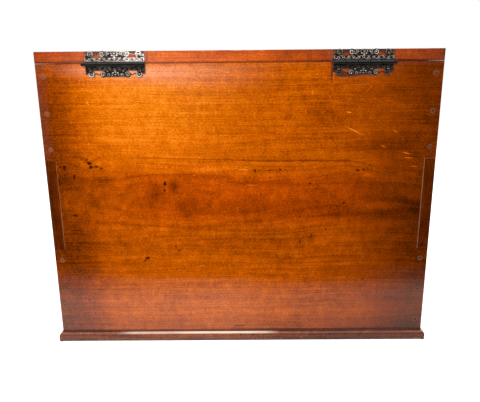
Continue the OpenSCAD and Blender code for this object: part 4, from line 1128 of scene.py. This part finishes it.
# the leaves on the case are darker and their band under the barrel darkest (in_shade): painted shade; the case
# leaf on the left is paler, painted light from the left; the lobes are darker, but paler on that leaf
below_left = hinge.step(hinge.x, 0.0, 0.01) * (1.0 - on_lid)
in_shade = (1.0 - on_lid) * hinge.step(hinge.z, (AXIS_Z - 9.8) * MM, (AXIS_Z - 7.8) * MM)
wear_and_painted_light = 0.92 + below_left * 0.18 - (1.0 - on_lid) * 0.16 - in_shade * 0.38 + patchy * 0.2
wear_and_painted_light = wear_and_painted_light + lobes * (below_left * 0.55 - 0.42)
ridges = hinge.step(lift + cast * 0.3, PLATE + 0.3, CREST - 0.18)
bright = hinge.step(lift + cast * 0.35, PLATE - 0.1, CREST - 0.6) + 0.24 + patchy * 0.1
specks = hinge.step(cast, 0.3, 0.75)
rubbed = (ridges * wear_and_painted_light * (1.0 - handled) + bright * handled) * on_plate * (1.0 - specks * 0.55)
colour = hinge.scale(rubbed + cast * 0.04, shades((6, 5, 6), (54, 42, 38), (128, 108, 90), (206, 188, 172),
                                                  (252, 244, 238)))
hinge_iron = hinge.worn(colour, 0.36, rubbed * (1.0 - handled) * 0.4 + 0.08, cast, 0.05 * MM)
for side, side_name in ((-1, "left"), (1, "right")):
    for of_lid in (False, True):
        node = f"{side_name}_hinge_{'lid' if of_lid else 'case'}_leaf"
        new_piece(node + "_cast", node, hinge_leaf(side, of_lid), hinge_iron, 50)

# pins: a collar, then a steeple
pin_profile = [(0, -HINGE_LEN), (1.2, -HINGE_LEN), (1.3, -HINGE_LEN + 0.2), (1.3, 0.1), (2.2, 0.15),
               (2.2, 0.7), (1.5, 1.1), (1.15, 1.35), (1.5, 1.7), (2.05, 2.3), (2.25, 2.95), (2.1, 3.6),
               (1.6, 4.3), (0.95, 4.9), (0.4, 5.3), (0, 5.5)]
pin = turned([(r * MM, h * MM) for r, h in pin_profile], 32)
pin_places = [((s * (HINGE_X + HINGE_LEN / 2) * MM, AXIS_Y * MM, AXIS_Z * MM), (s, 0, 0), 0) for s in (-1, 1)]
new_piece("hinge_pins_turned", "hinge_pins", copies(pin, pin_places), hinge_iron, 50)


# The hinge screws
# Wood screws with a round slotted head and a pointed, threaded shank, in polished steel. Four hold each leaf
# to the back or to the rear edge of the lid.
SCREW_R, HEAD_R, SCREW_LEN = 1.0, 2.1, 11.0
HEAD_FOOT, HEAD_TOP = 1.4, 2.49


def hinge_screw():
    """A screw along z with the wood's face at height 0. The thread is the shank's radius swinging with
    height less the share of a turn; the slot is where the head's points near the middle line sink."""
    heights = np.arange(-SCREW_LEN + PLATE, -0.2, 0.16)
    shank = [(SCREW_R * min(1.0, 0.25 + (h - heights[0]) / 3.0), h) for h in heights]
    arc = np.linspace(0, np.pi / 2, 12)
    head = [(HEAD_R * np.cos(a) ** 0.8, HEAD_FOOT + (HEAD_TOP - HEAD_FOOT) * np.sin(a)) for a in arc]
    verts, faces = turned([(0, heights[0] - 0.4), *shank, (SCREW_R, HEAD_FOOT), (HEAD_R, HEAD_FOOT),
                           *head[:-1], (0, HEAD_TOP)])
    turn = np.arctan2(verts[:, 1], verts[:, 0]) / (2 * np.pi)
    swing = 1 - 0.13 * (0.5 + 0.5 * np.cos(2 * np.pi * (verts[:, 2] / 0.8 - turn)))
    verts[:, :2] *= np.where(verts[:, 2] < -0.2, swing, 1.0)[:, None]
    in_slot = (np.abs(verts[:, 1]) < 0.3) & (verts[:, 2] > HEAD_FOOT + 0.25)
    verts[:, 2] = np.where(in_slot, HEAD_FOOT + 0.25, verts[:, 2])
    return verts * MM, faces


steel = Metal("screw steel")
speck = steel.speckle(900.0)
# the screws are darker round the foot of the head and down the shank
low = steel.step(steel.y, 151.9 * MM, 151.5 * MM)
colour = steel.scale(speck * 0.3 + 0.62 - low * 0.5, shades((22, 18, 17), (86, 72, 62), (150, 136, 120),
                                                           (206, 196, 182)))
screw_steel = steel.worn(colour, 0.26, 1.0, speck, 0.02 * MM)
screw = hinge_screw()
for node, up_or_down in (("case_hinge_screws", -1), ("lid_hinge_screws", 1)):
    screw_y, screw_z = WALL_Y * MM, (AXIS_Z + up_or_down * SCREW_V) * MM
    places = [(((side * HINGE_X + u) * MM, screw_y, screw_z), (0, 1, 0), 0.6 + 1.9 * i + side)
              for side in (-1, 1) for i, u in enumerate(SCREW_U)]
    new_piece(node + "_slotted", node, copies(screw, places), screw_steel, 45)
